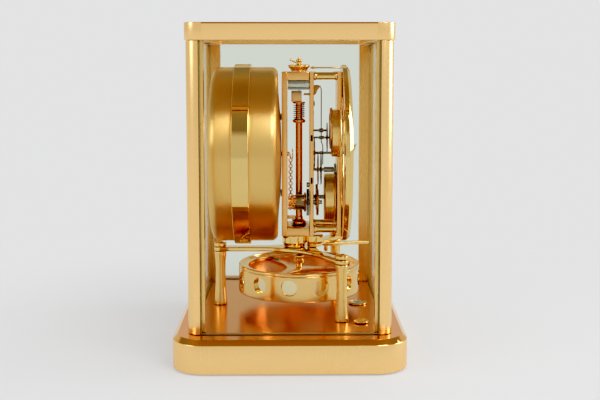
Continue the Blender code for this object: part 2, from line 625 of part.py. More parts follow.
# ---- Bellows drum ----
def make_drum():
    axis = (0, 0, DRUM_Z)
    wall = DRUM_WALL
    back, front, split = DRUM_BACK_F, DRUM_FRONT_F, DRUM_SPLIT_F
    corner = 6.0
    outer = [(DRUM_R - corner + corner * math.sin(math.radians(a)),
              back + corner - corner * math.cos(math.radians(a)))
             for a in (90, 60, 30, 0)]
    inner_corner = corner - wall
    inner = [(DRUM_R - corner + inner_corner * math.sin(math.radians(a)),
              back + corner - inner_corner * math.cos(math.radians(a))) for a in (0, 45, 90)]
    rear = [(DRUM_R, split - GAP), *outer, (0, back)]
    rear = [(0, back + wall), *inner, (DRUM_R - wall, split - GAP), *rear]
    turned("drum_rear_shell", rear, "satin_gilt", axis, True, 28)
    nose = 4.6
    dome = [(3.0, -6.5), (20.0, -6.9), (38.0, -8.0), (50.0, front)]
    edge = [(DRUM_R - nose + nose * math.sin(math.radians(a)),
             front - nose + nose * math.cos(math.radians(a)))
            for a in (0, 30, 60, 90)]
    lining = [(r, f - wall) for r, f in reversed(dome)]
    skin = [*dome, *edge, (DRUM_R, split), (DRUM_R - wall, split), (DRUM_R - wall, front - nose),
            (DRUM_R - nose, front - wall), *lining]
    turned("drum_front_shell", skin, "satin_gilt", axis, True, 28, closed=True)
    band = [(67.3, -28.7), (67.8, -29.2), (67.8, -40.5), (67.3, -41.0), (DRUM_R + GAP, -41.0),
            (DRUM_R + GAP, -28.7)]
    turned("drum_band", band, "polished_gilt", axis, True, 36, closed=True)
    folds = []
    low, high, count = -56.0, -28.6, 4
    pitch = (high - low) / count
    for i in range(count):
        folds += [(58.0, high - pitch * (i + 0.25)), (46.0, high - pitch * (i + 0.75))]
    outside = [(46.0, high), *folds, (46.0, low)]
    inside = [(r - 0.9, f) for r, f in reversed(outside)]
    turned("bellows", outside + inside, "copper_tube", axis, True, 18, closed=True)
    push = [(0, -0.4), (1.5, -0.4), (1.5, -22.6), (6.0, -24.0), (21.0, -24.6), (21.0, -26.2), (0, -26.2)]
    plunger = turned("push_plate", push, "gilt_movement", axis, True, 16)
    chain_x = WINDING[0] + CHAIN_OFFSET
    hook = wire("push_hook_curve", [(0.5, 0.5, DRUM_Z), (chain_x, 0.5, DRUM_Z)], 0.8, "gilt_movement", 8)
    evaluated = hook.evaluated_get(bpy.context.evaluated_depsgraph_get())
    mesh = bpy.data.meshes.new_from_object(evaluated)
    bpy.data.objects.remove(hook)
    welded = bmesh.new()
    welded.from_mesh(mesh)
    bmesh.ops.remove_doubles(welded, verts=welded.verts, dist=0.000001)
    welded.to_mesh(mesh)
    welded.free()
    boolean(plunger, place(bpy.data.objects.new("push_hook", mesh), None), "UNION")
    wire("return_spring", helix((0, DRUM_Z), 12.5, 10.8, 19.8, 4, 9, True), 0.9, "steel", 4)


clear_scene()
make_base()
make_case()
make_support()
make_balance()
make_suspension()
make_frame()
make_train()
make_escapement()
make_dial()
make_drum()
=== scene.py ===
"""Looks of the glazed torsion clock: fine meshes, finishes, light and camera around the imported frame.

Sizes are millimetres in the row frame; f is the distance towards the dial, f = -y.
"""
from math import asin, atan2, cos, degrees, dist, pi, radians, sin, sqrt

import bmesh
import bpy
from mathutils import Euler, Matrix, Vector


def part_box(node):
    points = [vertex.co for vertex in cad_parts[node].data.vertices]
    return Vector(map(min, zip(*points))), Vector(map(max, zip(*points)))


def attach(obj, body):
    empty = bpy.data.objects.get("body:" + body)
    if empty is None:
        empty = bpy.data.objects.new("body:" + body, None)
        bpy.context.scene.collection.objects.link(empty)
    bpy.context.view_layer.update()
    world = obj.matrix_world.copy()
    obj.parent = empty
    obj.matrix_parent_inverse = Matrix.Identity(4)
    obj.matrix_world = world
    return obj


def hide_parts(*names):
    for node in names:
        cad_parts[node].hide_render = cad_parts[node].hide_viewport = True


MM = 0.001
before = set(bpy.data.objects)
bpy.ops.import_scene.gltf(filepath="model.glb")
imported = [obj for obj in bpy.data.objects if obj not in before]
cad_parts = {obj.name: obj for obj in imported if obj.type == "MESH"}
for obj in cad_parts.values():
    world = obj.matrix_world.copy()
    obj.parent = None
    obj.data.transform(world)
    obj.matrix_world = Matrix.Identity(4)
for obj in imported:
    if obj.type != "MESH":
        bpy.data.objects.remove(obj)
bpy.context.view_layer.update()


# ---------------------------------------------------------------- materials
def node(tree, kind, sockets=None, **values):
    """New shader node. Sockets are named or numbered inputs; an output given as the value is linked to it."""
    made = tree.nodes.new(kind)
    for key, value in values.items():
        setattr(made, key, value)
    for key, value in (sockets or {}).items():
        if isinstance(value, bpy.types.NodeSocket):
            tree.links.new(value, made.inputs[key])
        elif value is not None:
            made.inputs[key].default_value = value
    return made


def math_node(tree, operation, first, second=0.0, third=None):
    return node(tree, "ShaderNodeMath", {0: first, 1: second, 2: third}, operation=operation).outputs[0]


def add_shares(tree, base, shares, least, most):
    """The base value plus a share of each source, kept between two limits."""
    for source, share in shares:
        base = math_node(tree, "MULTIPLY_ADD", source, share, base)
    return math_node(tree, "MAXIMUM", math_node(tree, "MINIMUM", base, most), least)


def noise(tree, source, scale, detail=3.0, rough=0.55, offset=0.0):
    shift = (offset, offset * 0.7, offset * 1.3)
    mapped = node(tree, "ShaderNodeMapping", {"Vector": source, "Scale": scale, "Location": shift})
    settings = {"Vector": mapped.outputs[0], "Scale": 1.0, "Detail": detail, "Roughness": rough}
    return node(tree, "ShaderNodeTexNoise", settings).outputs[0]


def mix_colour(tree, factor, first, second):
    return node(tree, "ShaderNodeMix", {0: factor, 6: first, 7: second}, data_type="RGBA").outputs[2]


def mix_surface(tree, factor, first, second):
    """Two shaders mixed by a factor become the surface."""
    both = node(tree, "ShaderNodeMixShader", {0: factor, 1: first.outputs[0], 2: second.outputs[0]})
    tree.links.new(both.outputs[0], tree.nodes["Material Output"].inputs["Surface"])


def new_material(name):
    material = bpy.data.materials.new(name)
    material.use_nodes = True
    return material, material.node_tree, material.node_tree.nodes["Principled BSDF"]


def rgba(colour):
    return (colour[0], colour[1], colour[2], 1.0)


def grain_scale(brush, across, along):
    return {"uv": (along, across, 1.0), "x": (along, across, across), "y": (across, along, across),
            "z": (across, across, along), "none": (across, across, across)}[brush]


MADE = {}            # finishes made so far, by name


def metal(name, colour, rough, brush="uv", streak=0.0, wear=0.3, bump=0.0, deep=None, across=900.0,
          tarnish=0.25, metallic=1.0, stretch=0.0):
    """Brushed or polished metal: fine lines along the brush direction, cloudy handling wear, small pits."""
    key = name + "_" + brush
    if key in MADE:
        return MADE[key]
    material, tree, shader = new_material(key)
    shader.inputs["Metallic"].default_value = metallic
    coords = node(tree, "ShaderNodeTexCoord")
    solid = coords.outputs["Object"]
    source = coords.outputs["UV"] if brush == "uv" else solid
    lines = noise(tree, source, grain_scale(brush, across, 14.0), 4.0, 0.7)
    fine = noise(tree, source, grain_scale(brush, across * 4.5, 60.0), 2.0, 0.6, 3.1)
    cloud = noise(tree, solid, (38.0, 38.0, 38.0), 5.0, 0.62, 7.7)
    pits = noise(tree, solid, (1400.0, 1400.0, 1400.0), 2.0, 0.5, 1.7)
    brushed = math_node(tree, "MULTIPLY_ADD", lines, 0.65, math_node(tree, "MULTIPLY", fine, 0.35))
    centred = math_node(tree, "SUBTRACT", brushed, 0.5)
    clouded = math_node(tree, "SUBTRACT", cloud, 0.5)
    pitted = math_node(tree, "GREATER_THAN", pits, 0.73)
    shares = ((centred, streak), (clouded, wear * 0.35), (pitted, 0.12))
    tree.links.new(add_shares(tree, rough, shares, 0.02, 0.9), shader.inputs["Roughness"])
    darker = deep or tuple(c * k for c, k in zip(colour, (0.80, 0.70, 0.52)))
    shares = ((clouded, tarnish * 2.0), (centred, streak * 1.2), (pitted, 0.35))
    amount = add_shares(tree, tarnish, shares, 0.0, 1.0)
    tree.links.new(mix_colour(tree, amount, rgba(colour), rgba(darker)), shader.inputs["Base Color"])
    if stretch and brush == "uv":
        along = node(tree, "ShaderNodeTangent", direction_type="UV_MAP", uv_map="grain")
        tree.links.new(along.outputs[0], shader.inputs["Tangent"])
        shader.inputs["Anisotropic"].default_value = stretch
        shader.inputs["Anisotropic Rotation"].default_value = 0.25
    if bump:
        raised = node(tree, "ShaderNodeBump", {"Strength": bump, "Distance": 0.00004, "Height": brushed})
        tree.links.new(raised.outputs[0], shader.inputs["Normal"])
    MADE[key] = material
    return material


GOLD = (1.0, 0.695, 0.350)


def satin(brush="uv"):
    return metal("satin_gilt", GOLD, 0.27, brush, 0.035, 0.05, 0.006, across=1000.0, tarnish=0.04)


def drum_satin(brush="uv"):
    return metal("drum_gilt", (1.0, 0.685, 0.33), 0.36, brush, 0.14, 0.16, 0.10, across=420.0, tarnish=0.10,
                 stretch=0.8)


def polished(brush="uv"):
    return metal("polished_gilt", (1.0, 0.72, 0.37), 0.055, brush, 0.04, 0.08, 0.0, tarnish=0.05)


def ring_gilt(brush="uv"):
    return metal("ring_gilt", (1.0, 0.68, 0.36), 0.15, brush, 0.08, 0.1, 0.0, across=700.0, tarnish=0.05)


# Darker, pinker copy of the gilt for the polished base top and the balance ring's inner wall: the polish is
# real, the darker colour is painted shade.
def mirror_painted_shade(brush="none"):
    made = metal("mirror_gilt", (0.90, 0.52, 0.30), 0.20, brush, 0.05, 0.12, 0.0, tarnish=0.10,
                 deep=(0.80, 0.46, 0.26))
    made.node_tree.nodes["Principled BSDF"].inputs["Specular Tint"].default_value = (0.97, 0.85, 0.74, 1.0)
    return made


# Deeper copy of the gilt for the base chamfer and the top frame's upper edge: the polish is real, the deeper
# colour is painted shade.
def edge_gilt_painted_shade(brush="x"):
    return metal("edge_gilt_painted_shade", (0.90, 0.53, 0.20), 0.10, brush, 0.04, 0.1, 0.0, tarnish=0.08)


def movement(brush="z"):
    return metal("movement_gilt", (1.0, 0.61, 0.30), 0.24, brush, 0.08, 0.2, 0.06, across=1100.0,
                 tarnish=0.12)


def copper(brush="uv"):
    return metal("copper_tube", (0.86, 0.53, 0.29), 0.17, brush, 0.06, 0.2, 0.02, tarnish=0.2)


def steel(brush="none"):
    return metal("steel", (0.46, 0.45, 0.43), 0.22, brush, 0.12, 0.3, 0.1, deep=(0.22, 0.20, 0.17),
                 tarnish=0.3)


def blued(brush="none"):
    return metal("darkened_wire", (0.34, 0.27, 0.22), 0.28, brush, 0.1, 0.3, 0.0, deep=(0.16, 0.12, 0.10))


def brown(brush="none"):
    return metal("bronze_wheel", (0.62, 0.33, 0.12), 0.26, brush, 0.1, 0.3, 0.1)


def paint(name, colour, rough, grain=0.2, deep=None):
    """Painted, lacquered or rubber surface with a fine uneven grain."""
    if name in MADE:
        return MADE[name]
    made = metal(name, colour, rough, "none", 0.1, 0.3, grain, deep=deep or tuple(c * 0.8 for c in colour),
                 across=1800.0, tarnish=0.3, metallic=0.0)
    MADE[name] = made
    return made


def glass():
    """Clear sheet glass: a slightly green see-through surface with a weak reflection and faint dust."""
    if "glass" in MADE:
        return MADE["glass"]
    material, tree, shader = new_material("clear_glass")
    tree.nodes.remove(shader)
    solid = node(tree, "ShaderNodeTexCoord").outputs["Object"]
    dust = noise(tree, solid, (900.0, 900.0, 900.0), 3.0, 0.7)
    haze = noise(tree, solid, (26.0, 26.0, 26.0), 4.0, 0.6, 2.2)
    amount = math_node(tree, "MULTIPLY", math_node(tree, "GREATER_THAN", dust, 0.72), 0.25)
    amount = math_node(tree, "MULTIPLY_ADD", haze, 0.10, amount)
    tint = mix_colour(tree, amount, (0.955, 0.967, 0.945, 1.0), (0.915, 0.925, 0.90, 1.0))
    through = node(tree, "ShaderNodeBsdfTransparent", {"Color": tint})
    shine = node(tree, "ShaderNodeBsdfGlossy", {"Color": (0.95, 0.97, 0.96, 1.0), "Roughness": 0.03})
    weight = node(tree, "ShaderNodeLayerWeight", {"Blend": 0.12})
    mix_surface(tree, math_node(tree, "MULTIPLY", weight.outputs["Fresnel"], 0.42), through, shine)
    MADE["glass"] = material
    return material


# ---------------------------------------------------------------- shapes
def soft(points, radius=0.25, parts=3, closed=False):
    """Round the corners of a profile."""
    result = []
    count = len(points)
    for i, here in enumerate(points):
        if not closed and i in (0, count - 1):
            result.append(here)
            continue
        before, after = points[i - 1], points[(i + 1) % count]
        reach = []
        for other in (before, after):
            length = dist(here, other)
            reach.append((length, (other[0] - here[0]) / length, (other[1] - here[1]) / length))
        if reach[0][1] * reach[1][1] + reach[0][2] * reach[1][2] < -0.93:
            result.append(here)
            continue
        cut = min(radius, reach[0][0] * 0.45, reach[1][0] * 0.45)
        start = (here[0] + reach[0][1] * cut, here[1] + reach[0][2] * cut)
        end = (here[0] + reach[1][1] * cut, here[1] + reach[1][2] * cut)
        for k in range(parts + 1):
            t = k / parts
            result.append(tuple((1 - t) ** 2 * s + 2 * t * (1 - t) * h + t * t * e
                                for s, h, e in zip(start, here, end)))
    return result


def arc(centre, radius, start, end, steps):
    points = []
    for i in range(steps + 1):
        angle = radians(start + (end - start) * i / steps)
        points.append((centre[0] + radius * cos(angle), centre[1] + radius * sin(angle)))
    return points


def circle(centre, radius, steps=48):
    return arc(centre, radius, 0, 360, steps)[:-1]


def rounded_rectangle(half_x, half_y, radius, steps=14):
    points = []
    for sign_x, sign_y, start in ((1, 1, 0), (-1, 1, 90), (-1, -1, 180), (1, -1, 270)):
        centre = (sign_x * (half_x - radius), sign_y * (half_y - radius))
        points += arc(centre, radius, start, start + 90, steps)
    return points


def capsule(first, first_r, second, second_r, steps=12):
    heading = degrees(atan2(second[1] - first[1], second[0] - first[0]))
    points = arc(second, second_r, heading - 90, heading + 90, steps)
    return points + arc(first, first_r, heading + 90, heading + 270, steps)


def star(reach, half_width, waist, first_arm, steps=28):
    half = sin(radians(60))
    centre_r = (waist - half_width) / (1 - half)
    arc_r = centre_r - waist
    points = []
    for arm in range(3):
        heading = first_arm + 120 * arm
        tip = (reach * cos(radians(heading)), reach * sin(radians(heading)))
        points += arc(tip, half_width, heading - 90, heading + 90, 16)
        between = radians(heading + 60)
        centre = (centre_r * cos(between), centre_r * sin(between))
        points += arc(centre, arc_r, heading + 270, heading + 210, steps)
    return points


def gear(tip_r, depth, teeth, lean=0.0):
    """Wheel outline with flat-topped teeth, or saw teeth with lean 1."""
    shares = ((0.0, 0), (0.30, 0), (0.42, 1), (0.70, 1), (0.82, 0)) if not lean else ((0.0, 0), (0.85, 1),
                                                                                      (0.95, 1))
    points = []
    for i in range(teeth):
        for share, top in shares:
            angle = 2 * pi * (i + share) / teeth
            radius = tip_r - (0 if top else depth)
            points.append((radius * cos(angle), radius * sin(angle)))
    return points


def windows(inner, outer, count, spoke, steps=8):
    """Crossings of a wheel: count openings between spokes of a given half width."""
    loops = []
    for i in range(count):
        middle = 360 / count * i
        reach_out = 180 / count - degrees(spoke / outer)
        reach_in = 180 / count - degrees(spoke / inner)
        loops.append(arc((0, 0), outer, middle - reach_out, middle + reach_out, steps)
                     + arc((0, 0), inner, middle + reach_in, middle - reach_in, steps))
    return loops


def helix(centre, radius, low, high, turns, per_turn=24, along_y=False):
    points = []
    count = int(turns * per_turn)
    for i in range(count + 1):
        angle = 2 * pi * i / per_turn
        height = low + (high - low) * i / count
        a, b = radius * cos(angle), radius * sin(angle)
        points.append((centre[0] + a, height, centre[1] + b) if along_y else (centre[0] + a, centre[1] + b,
                                                                              height))
    return points


def place(name, data):
    """A new object in the scene."""
    thing = bpy.data.objects.new(name, data)
    bpy.context.scene.collection.objects.link(thing)
    return thing


def spread(count, start=0.0, shift=0.0):
    """Cosine and sine of evenly spread directions around a turn."""
    turns = [start + 2 * pi * (i + shift) / count for i in range(count)]
    return [(cos(turn), sin(turn)) for turn in turns]


def flat_curve(*loops):
    """A filled 2D curve over closed loops of points."""
    curve = bpy.data.curves.new("outline", "CURVE")
    curve.dimensions = "2D"
    curve.fill_mode = "BOTH"
    for loop in loops:
        spline = curve.splines.new("POLY")
        spline.points.add(len(loop) - 1)
        for point, (u, v) in zip(spline.points, loop):
            point.co = (u * MM, v * MM, 0.0, 1.0)
        spline.use_cyclic_u = True
    return curve


def curve_mesh(curve):
    """The mesh of a filled curve or a text."""
    thing = place(curve.name, curve)
    bpy.context.view_layer.update()
    mesh = bpy.data.meshes.new_from_object(thing.evaluated_get(bpy.context.evaluated_depsgraph_get()))
    bpy.data.objects.remove(thing)
    return mesh


def facing_move(facing, at, height):
    """Places a flat shape: UP lies level, FRONT faces the dial side, SIDE faces +X."""
    if facing == "UP":
        return Matrix.Translation((at[0] * MM, at[1] * MM, height * MM))
    if facing == "FRONT":
        turn = Euler((pi / 2, 0, 0)).to_matrix().to_4x4()
        return Matrix.Translation((at[0] * MM, -height * MM, at[1] * MM)) @ turn
    turn = Euler((pi / 2, 0, pi / 2)).to_matrix().to_4x4()
    return Matrix.Translation((height * MM, at[0] * MM, at[1] * MM)) @ turn


def head(top, shoulder, low, flat, full):
    """Profile of a small round head: flat on top, a sloping shoulder, straight sides."""
    return [(0, top), (flat, top), (full, shoulder), (full, low), (0, low)]


def bar(radius, top, low):
    return [(0, top), (radius, top), (radius, low), (0, low)]


class Piece:
    """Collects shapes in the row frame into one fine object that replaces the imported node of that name."""

    def __init__(self, name, *materials):
        self.name = name
        self.materials = materials
        self.mesh = bmesh.new()
        self.uv = self.mesh.loops.layers.uv.new("grain")

    def grid(self, rows, m=0, turn_rows=False, caps=False):
        """A skin over rows of points; each row is a closed loop."""
        made = [[self.mesh.verts.new([c * MM for c in p]) for p in row] for row in rows]
        around = [0.0]
        widest = max(rows, key=lambda row: sum(dist(a, b) for a, b in zip(row, row[1:])))
        for a, b in zip(widest, widest[1:] + widest[:1]):
            around.append(around[-1] + dist(a, b))
        along = [0.0]
        for a, b in zip(rows, rows[1:] + rows[:1]):
            along.append(along[-1] + dist(a[0], b[0]))
        count = len(rows[0])
        for i in range(len(rows) - (0 if turn_rows else 1)):
            first, second = made[i], made[(i + 1) % len(rows)]
            for j in range(count):
                k = (j + 1) % count
                face = self.mesh.faces.new((first[j], first[k], second[k], second[j]))
                face.material_index = m
                marks = ((j, i), (j + 1, i), (j + 1, i + 1), (j, i + 1))
                for loop, (u, v) in zip(face.loops, marks):
                    loop[self.uv].uv = (around[u] * MM, along[v] * MM)
        if caps:
            for row in (made[0], made[-1]):
                face = self.mesh.faces.new(row)
                face.material_index = m
                for loop in face.loops:
                    loop[self.uv].uv = loop.vert.co.xy
        return made

    def turned(self, profile, at=(0.0, 0.0), front=False, steps=72, closed=False, m=0, radius=0.25, parts=3):
        """Lathe shape of (radius, height) points; with front the axis lies along Y and heights are f."""
        rows = []
        for r, h in soft(profile, radius, parts, closed):
            round_row = [(at[0] + r * x, at[1] + r * y) for x, y in spread(steps)]
            rows.append([(a, -h, b) if front else (a, b, h) for a, b in round_row])
        self.grid(rows, m, closed)
        return self

    def rod(self, radius, low, high, at=(0.0, 0.0), front=False, m=0, steps=32, edge=0.2):
        return self.turned(bar(radius, high, low), at, front, steps, False, m, edge, 2)

    def plate(self, outline, low, high, holes=(), facing="UP", at=(0.0, 0.0), edge=0.25, m=0, parts=2):
        """Flat shape with softened edges. UP: outline (x, y); FRONT: (x, z) with f; SIDE: (y, z) with x."""
        curve = flat_curve(outline, *holes)
        curve.offset = -edge * MM
        curve.bevel_depth = edge * MM
        curve.bevel_resolution = parts
        curve.extrude = ((high - low) / 2 - edge) * MM
        mesh = curve_mesh(curve)
        mesh.transform(facing_move(facing, at, (low + high) / 2))
        return self.take(mesh, m)

    def sheet(self, outline, z, holes=(), m=0):
        """Flat skin at height z inside an outline, around its holes."""
        mesh = curve_mesh(flat_curve(outline, *holes))
        mesh.transform(Matrix.Translation((0, 0, z * MM)))
        return self.take(mesh, m)

    def take(self, mesh, m=0):
        before = set(self.mesh.faces)
        self.mesh.from_mesh(mesh)
        for face in self.mesh.faces:
            if face not in before:
                face.material_index = m
        bpy.data.meshes.remove(mesh)
        return self

    def box(self, low, high, edge=0.3, m=0):
        """Box with a small rounded edge, standing on its Z faces."""
        cx, cy = (low[0] + high[0]) / 2, (low[1] + high[1]) / 2
        hx, hy = (high[0] - low[0]) / 2, (high[1] - low[1]) / 2
        rows = []
        for inset, z in ((edge, low[2]), (edge * 0.3, low[2] + edge * 0.3), (0, low[2] + edge),
                         (0, high[2] - edge), (edge * 0.3, high[2] - edge * 0.3), (edge, high[2])):
            loop = rounded_rectangle(hx - inset, hy - inset, max(edge - inset, 0.02), 3)
            rows.append([(cx + x, cy + y, z) for x, y in loop])
        self.grid(rows, m, False, True)
        return self

    def tube(self, points, radius, m=0, sides=10, closed=False):
        """Round wire through points."""
        rows = []
        normal = None
        count = len(points)
        for i, point in enumerate(points):
            ahead = points[(i + 1) % count] if closed or i + 1 < count else point
            behind = points[i - 1] if closed or i else point
            heading = (Vector(ahead) - Vector(behind)).normalized()
            if normal is None:
                normal = heading.orthogonal().normalized()
            normal = (normal - heading * normal.dot(heading)).normalized()
            side = heading.cross(normal)
            rows.append([tuple(Vector(point) + (normal * x + side * y) * radius) for x, y in spread(sides)])
        self.grid(rows, m, closed, not closed)
        return self

    def done(self, slot, body="case", sharp=32.0):
        bmesh.ops.remove_doubles(self.mesh, verts=self.mesh.verts, dist=1e-7)
        bmesh.ops.recalc_face_normals(self.mesh, faces=self.mesh.faces)
        mesh = bpy.data.meshes.new(self.name + "_fine")
        self.mesh.to_mesh(mesh)
        self.mesh.free()
        thing = place(self.name + "_fine", mesh)
        for material in self.materials:
            mesh.materials.append(material)
        mesh.shade_smooth()
        mesh.set_sharp_from_angle(angle=radians(sharp))
        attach(thing, body)
        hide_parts(self.name)


# ---------------------------------------------------------------- base and case
AXIS_F = 6.9
AXIS = (0, -AXIS_F)
BASE_HALF_X, BASE_HALF_Y, BASE_CORNER = 103, 80.4, 22.7
BASE_TOP = 23.8
CEILING = 19.8       # underside of the base top
INNER = 14         # inset of the flat middle of the base
SCREW_HOLE_R = 2.9
SCREW_X, SCREW_Y = 56, -50.6
LEVEL = (0, -52)
POST_LOW, POST_TOP, HEIGHT = 24.1, 222.9, 235
WINDOW_X, WINDOW_Y = 76.5, 57.9
PLATE_HALF, PLATE_LOW, PLATE_TOP = 17, 79, 201.4
DIAL_Z, DRUM_Z = 140, 139.3
DIAL = (0, DIAL_Z)
WINDING, BARREL, SECOND = (-14, 104.35), (6, 105.6), (-5.5, 127.96)
ESCAPE, PALLET, COVER = (6, 151.2), (-3, 157.3), (-12, 155.9)


def about_balance(angle, radius):
    """Point at an angle and distance around the balance axis."""
    turn = radians(angle)
    return (radius * cos(turn), -AXIS_F + radius * sin(turn))


def rounded_loop(half_x, half_y, radius, z, steps=20):
    return [(x, y, z) for x, y in rounded_rectangle(half_x, half_y, max(radius, 0.05), steps)]


def base_loop(inset, z):
    """Outline of the base at height z, drawn in by an inset."""
    return rounded_loop(BASE_HALF_X - inset, BASE_HALF_Y - inset, BASE_CORNER - inset, z, 28)


def make_base():
    # The chamfer's deeper gilt and the top's darker gilt are painted shade on real polished faces.
    base = Piece("base_plinth", satin("z"), edge_gilt_painted_shade("x"), mirror_painted_shade())
    outside = [(1, 0.8), (0.35, 1.05), (0.05, 1.6), (0, 2.3), (0, 20.2), (0.12, 20.55)]
    chamfer = [(0.12, 20.55), (0.35, 20.8), (2.95, 23.45), (3.2, 23.65), (3.55, BASE_TOP)]
    top = [(3.55, BASE_TOP), (3.9, BASE_TOP), (INNER, BASE_TOP)]
    for m, levels in ((0, outside), (1, chamfer), (2, top)):
        base.grid([base_loop(i, z) for i, z in levels], m)
    hollow = [(1, 0.8), (2.7, 0.8), (3, 1.1), (3, CEILING - 0.4), (3.4, CEILING), (INNER, CEILING)]
    base.grid([base_loop(i, z) for i, z in hollow])
    middle = [point[:2] for point in base_loop(INNER, BASE_TOP)]
    holes = [circle((side * SCREW_X, SCREW_Y), SCREW_HOLE_R) for side in (-1, 1)]
    for m, z in ((2, BASE_TOP), (0, CEILING)):
        base.sheet(middle, z, holes, m)
    for hole in holes:
        base.grid([[(x, y, z) for x, y in hole] for z in (BASE_TOP, CEILING)], 2)
    base.done("satin_gilt")
    for side, word in ((-1, "left"), (1, "right")):
        at = (side * SCREW_X, SCREW_Y)
        screw = Piece("levelling_screw_" + word, polished())
        screw.turned([(0, 25.5), (1.6, 25.5), (2, 25.7), (4.9, 25.7), (5.4, 25.3), (5.4, 24.5), (4.9, 24.1),
                      (2.4, 24.1), (2.4, 3.4), (7.5, 3), (8, 2.4), (7.4, 0), (0, 0)], at, steps=64,
                      radius=0.2)
        screw.plate(gear(5.45, 0.2, 40), 24.5, 25.3, at=at, edge=0.08)
        screw.done("polished_gilt", word + "_levelling_screw")
    foot = Piece("rear_foot", paint("rubber", (0.03, 0.03, 0.03), 0.75, 0.4))
    foot.turned([(0, 3.6), (8, 3.6), (8, 0.8), (7.2, 0), (0, 0)], (0, 58), steps=48, radius=0.6)
    foot.done("dark_cover")
    level = Piece("spirit_level", polished(), paint("level_dial", (0.80, 0.82, 0.78), 0.25, 0.05), glass())
    level.turned([(0, 24.3), (5.6, 24.3), (5.6, 25), (5.9, 25.3), (6.6, 25.3), (7.2, 24.8), (7.2, 24.1),
                  (0, 24.1)], LEVEL, steps=72, radius=0.15)
    level.turned(bar(5.4, 24.6, 24.32), LEVEL, m=1, steps=48, radius=0.05)
    level.turned([(0, 24.72), (1.6, 24.7), (1.8, 24.66), (1.6, 24.62), (0, 24.62)], (0.7, -51.4), m=2,
                 steps=32, radius=0.03)
    level.turned([(2.1, 24.68), (2.3, 24.68), (2.3, 24.61), (2.1, 24.61)], LEVEL, m=0, steps=32, closed=True,
                 radius=0.02)
    level.turned([(0, 25.15), (3.8, 25.1), (5.5, 24.95), (5.5, 24.8), (0, 24.8)], LEVEL, m=2, steps=48,
                 radius=0.05)
    level.done("polished_gilt")


def post_outline(sign_x, sign_y):
    """Corner post with the two steps that hold the panes."""
    inner_x, inner_y, step_x, step_y = WINDOW_X, WINDOW_Y, 85, 65.3
    corner = arc((80.3, 61.7), 8, 0, 90, 18)
    points = [(inner_x, inner_y), (step_x, inner_y), (step_x, inner_y + 3), (88.3, inner_y + 3), *corner,
              (inner_x + 3, 69.7), (inner_x + 3, step_y), (inner_x, step_y)]
    placed = [(sign_x * x, sign_y * y) for x, y in points]
    return placed if sign_x * sign_y > 0 else placed[::-1]


PANE_SHADOW_LINE = 0.55     # width of the painted shadow line along a pane's edge
PROUD = 0.01         # how far that line stands off the glass


def make_case():
    for sign_x, side in ((-1, "left"), (1, "right")):
        for sign_y, end in ((-1, "front"), (1, "rear")):
            name = "post_" + end + "_" + side
            post = Piece(name, satin("z"))
            post.plate(post_outline(sign_x, sign_y), POST_LOW, POST_TOP, edge=0.22, parts=2)
            post.done("satin_gilt")
    top = Piece("top_frame", satin("x"), edge_gilt_painted_shade("x"), satin("y"))
    low = HEIGHT - 11.8
    half_x, half_y = 88.35, 70.25
    rows = [(0.35, low), (0.08, low + 0.12), (0, low + 0.4), (0, HEIGHT - 0.95), (0.12, HEIGHT - 0.8),
            (0.85, HEIGHT - 0.08), (1.1, HEIGHT)]
    skin = [rounded_loop(half_x - i, half_y - i, 8.6 - i, z) for i, z in rows]
    lip = [rounded_loop(79.3, 60.7, 2.6, z) for z in (HEIGHT, HEIGHT - 0.15, HEIGHT - 3.7)]
    inner = [rounded_loop(76.7, 58.1, 2, HEIGHT - 3.7), rounded_loop(WINDOW_X, WINDOW_Y, 2, HEIGHT - 3.9),
             rounded_loop(WINDOW_X, WINDOW_Y, 2, low + 0.2), rounded_loop(76.7, 58.1, 2, low)]
    groove = [rounded_loop(half_x - i, half_y - i, 8.6 - i, z)
              for i, z in ((5.15, low), (5.15, low + 6.6), (1.95, low + 6.6), (1.95, low))]
    top.grid(skin + lip + inner + groove, 0, True)
    # The rounded upper edge of the frame takes the deeper gilt: painted shade on a real polished edge.
    for face in top.mesh.faces:
        height = sum(v.co.z for v in face.verts) / len(face.verts)
        if (HEIGHT - 0.9) * MM < height < (HEIGHT - 0.1) * MM:
            face.material_index = 1
    for sign_x in (-1, 1):
        for sign_y in (-1, 1):
            corner = [(sign_x * x, sign_y * y) for x, y in
                      [(77.3, 70.7), (77.3, 68.6), (84, 68.6), (84, 58.6), (88.8, 58.6),
                       *arc((79.7, 61.6), 9.1, 0, 90, 18)]]
            top.plate(corner if sign_x * sign_y > 0 else corner[::-1], low, HEIGHT - 0.02, edge=0.3, m=2)
    top.done("satin_gilt")
    for name in ("top_glass", "left_glass", "right_glass", "rear_glass", "front_glass"):
        a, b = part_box(name)
        low, high = [v / MM for v in a], [v / MM for v in b]
        pane = Piece(name, glass(), paint("painted_pane_gap_shadow", (0.34, 0.27, 0.11), 0.35, 0.1))
        pane.box(low, high, 0.35)
        # Dark strips along the upright edges of the side panes and along the feet of the panes: painted
        # shadow of the gaps where the panes sit.
        strips = []
        if name in ("left_glass", "right_glass"):
            strips = [(low, (high[0], low[1] + PANE_SHADOW_LINE, high[2])),
                      ((low[0], high[1] - PANE_SHADOW_LINE, low[2]), high)]
        for first, last in strips:
            pane.box([c - PROUD for c in first], [c + PROUD for c in last], 0.3, 1)
        if name != "top_glass":
            foot = (high[0] + PROUD, high[1] + PROUD, low[2] + PANE_SHADOW_LINE)
            pane.box([c - PROUD for c in low], foot, 0.3, 1)
        pane.done("glass", "front_pane" if name == "front_glass" else "case")


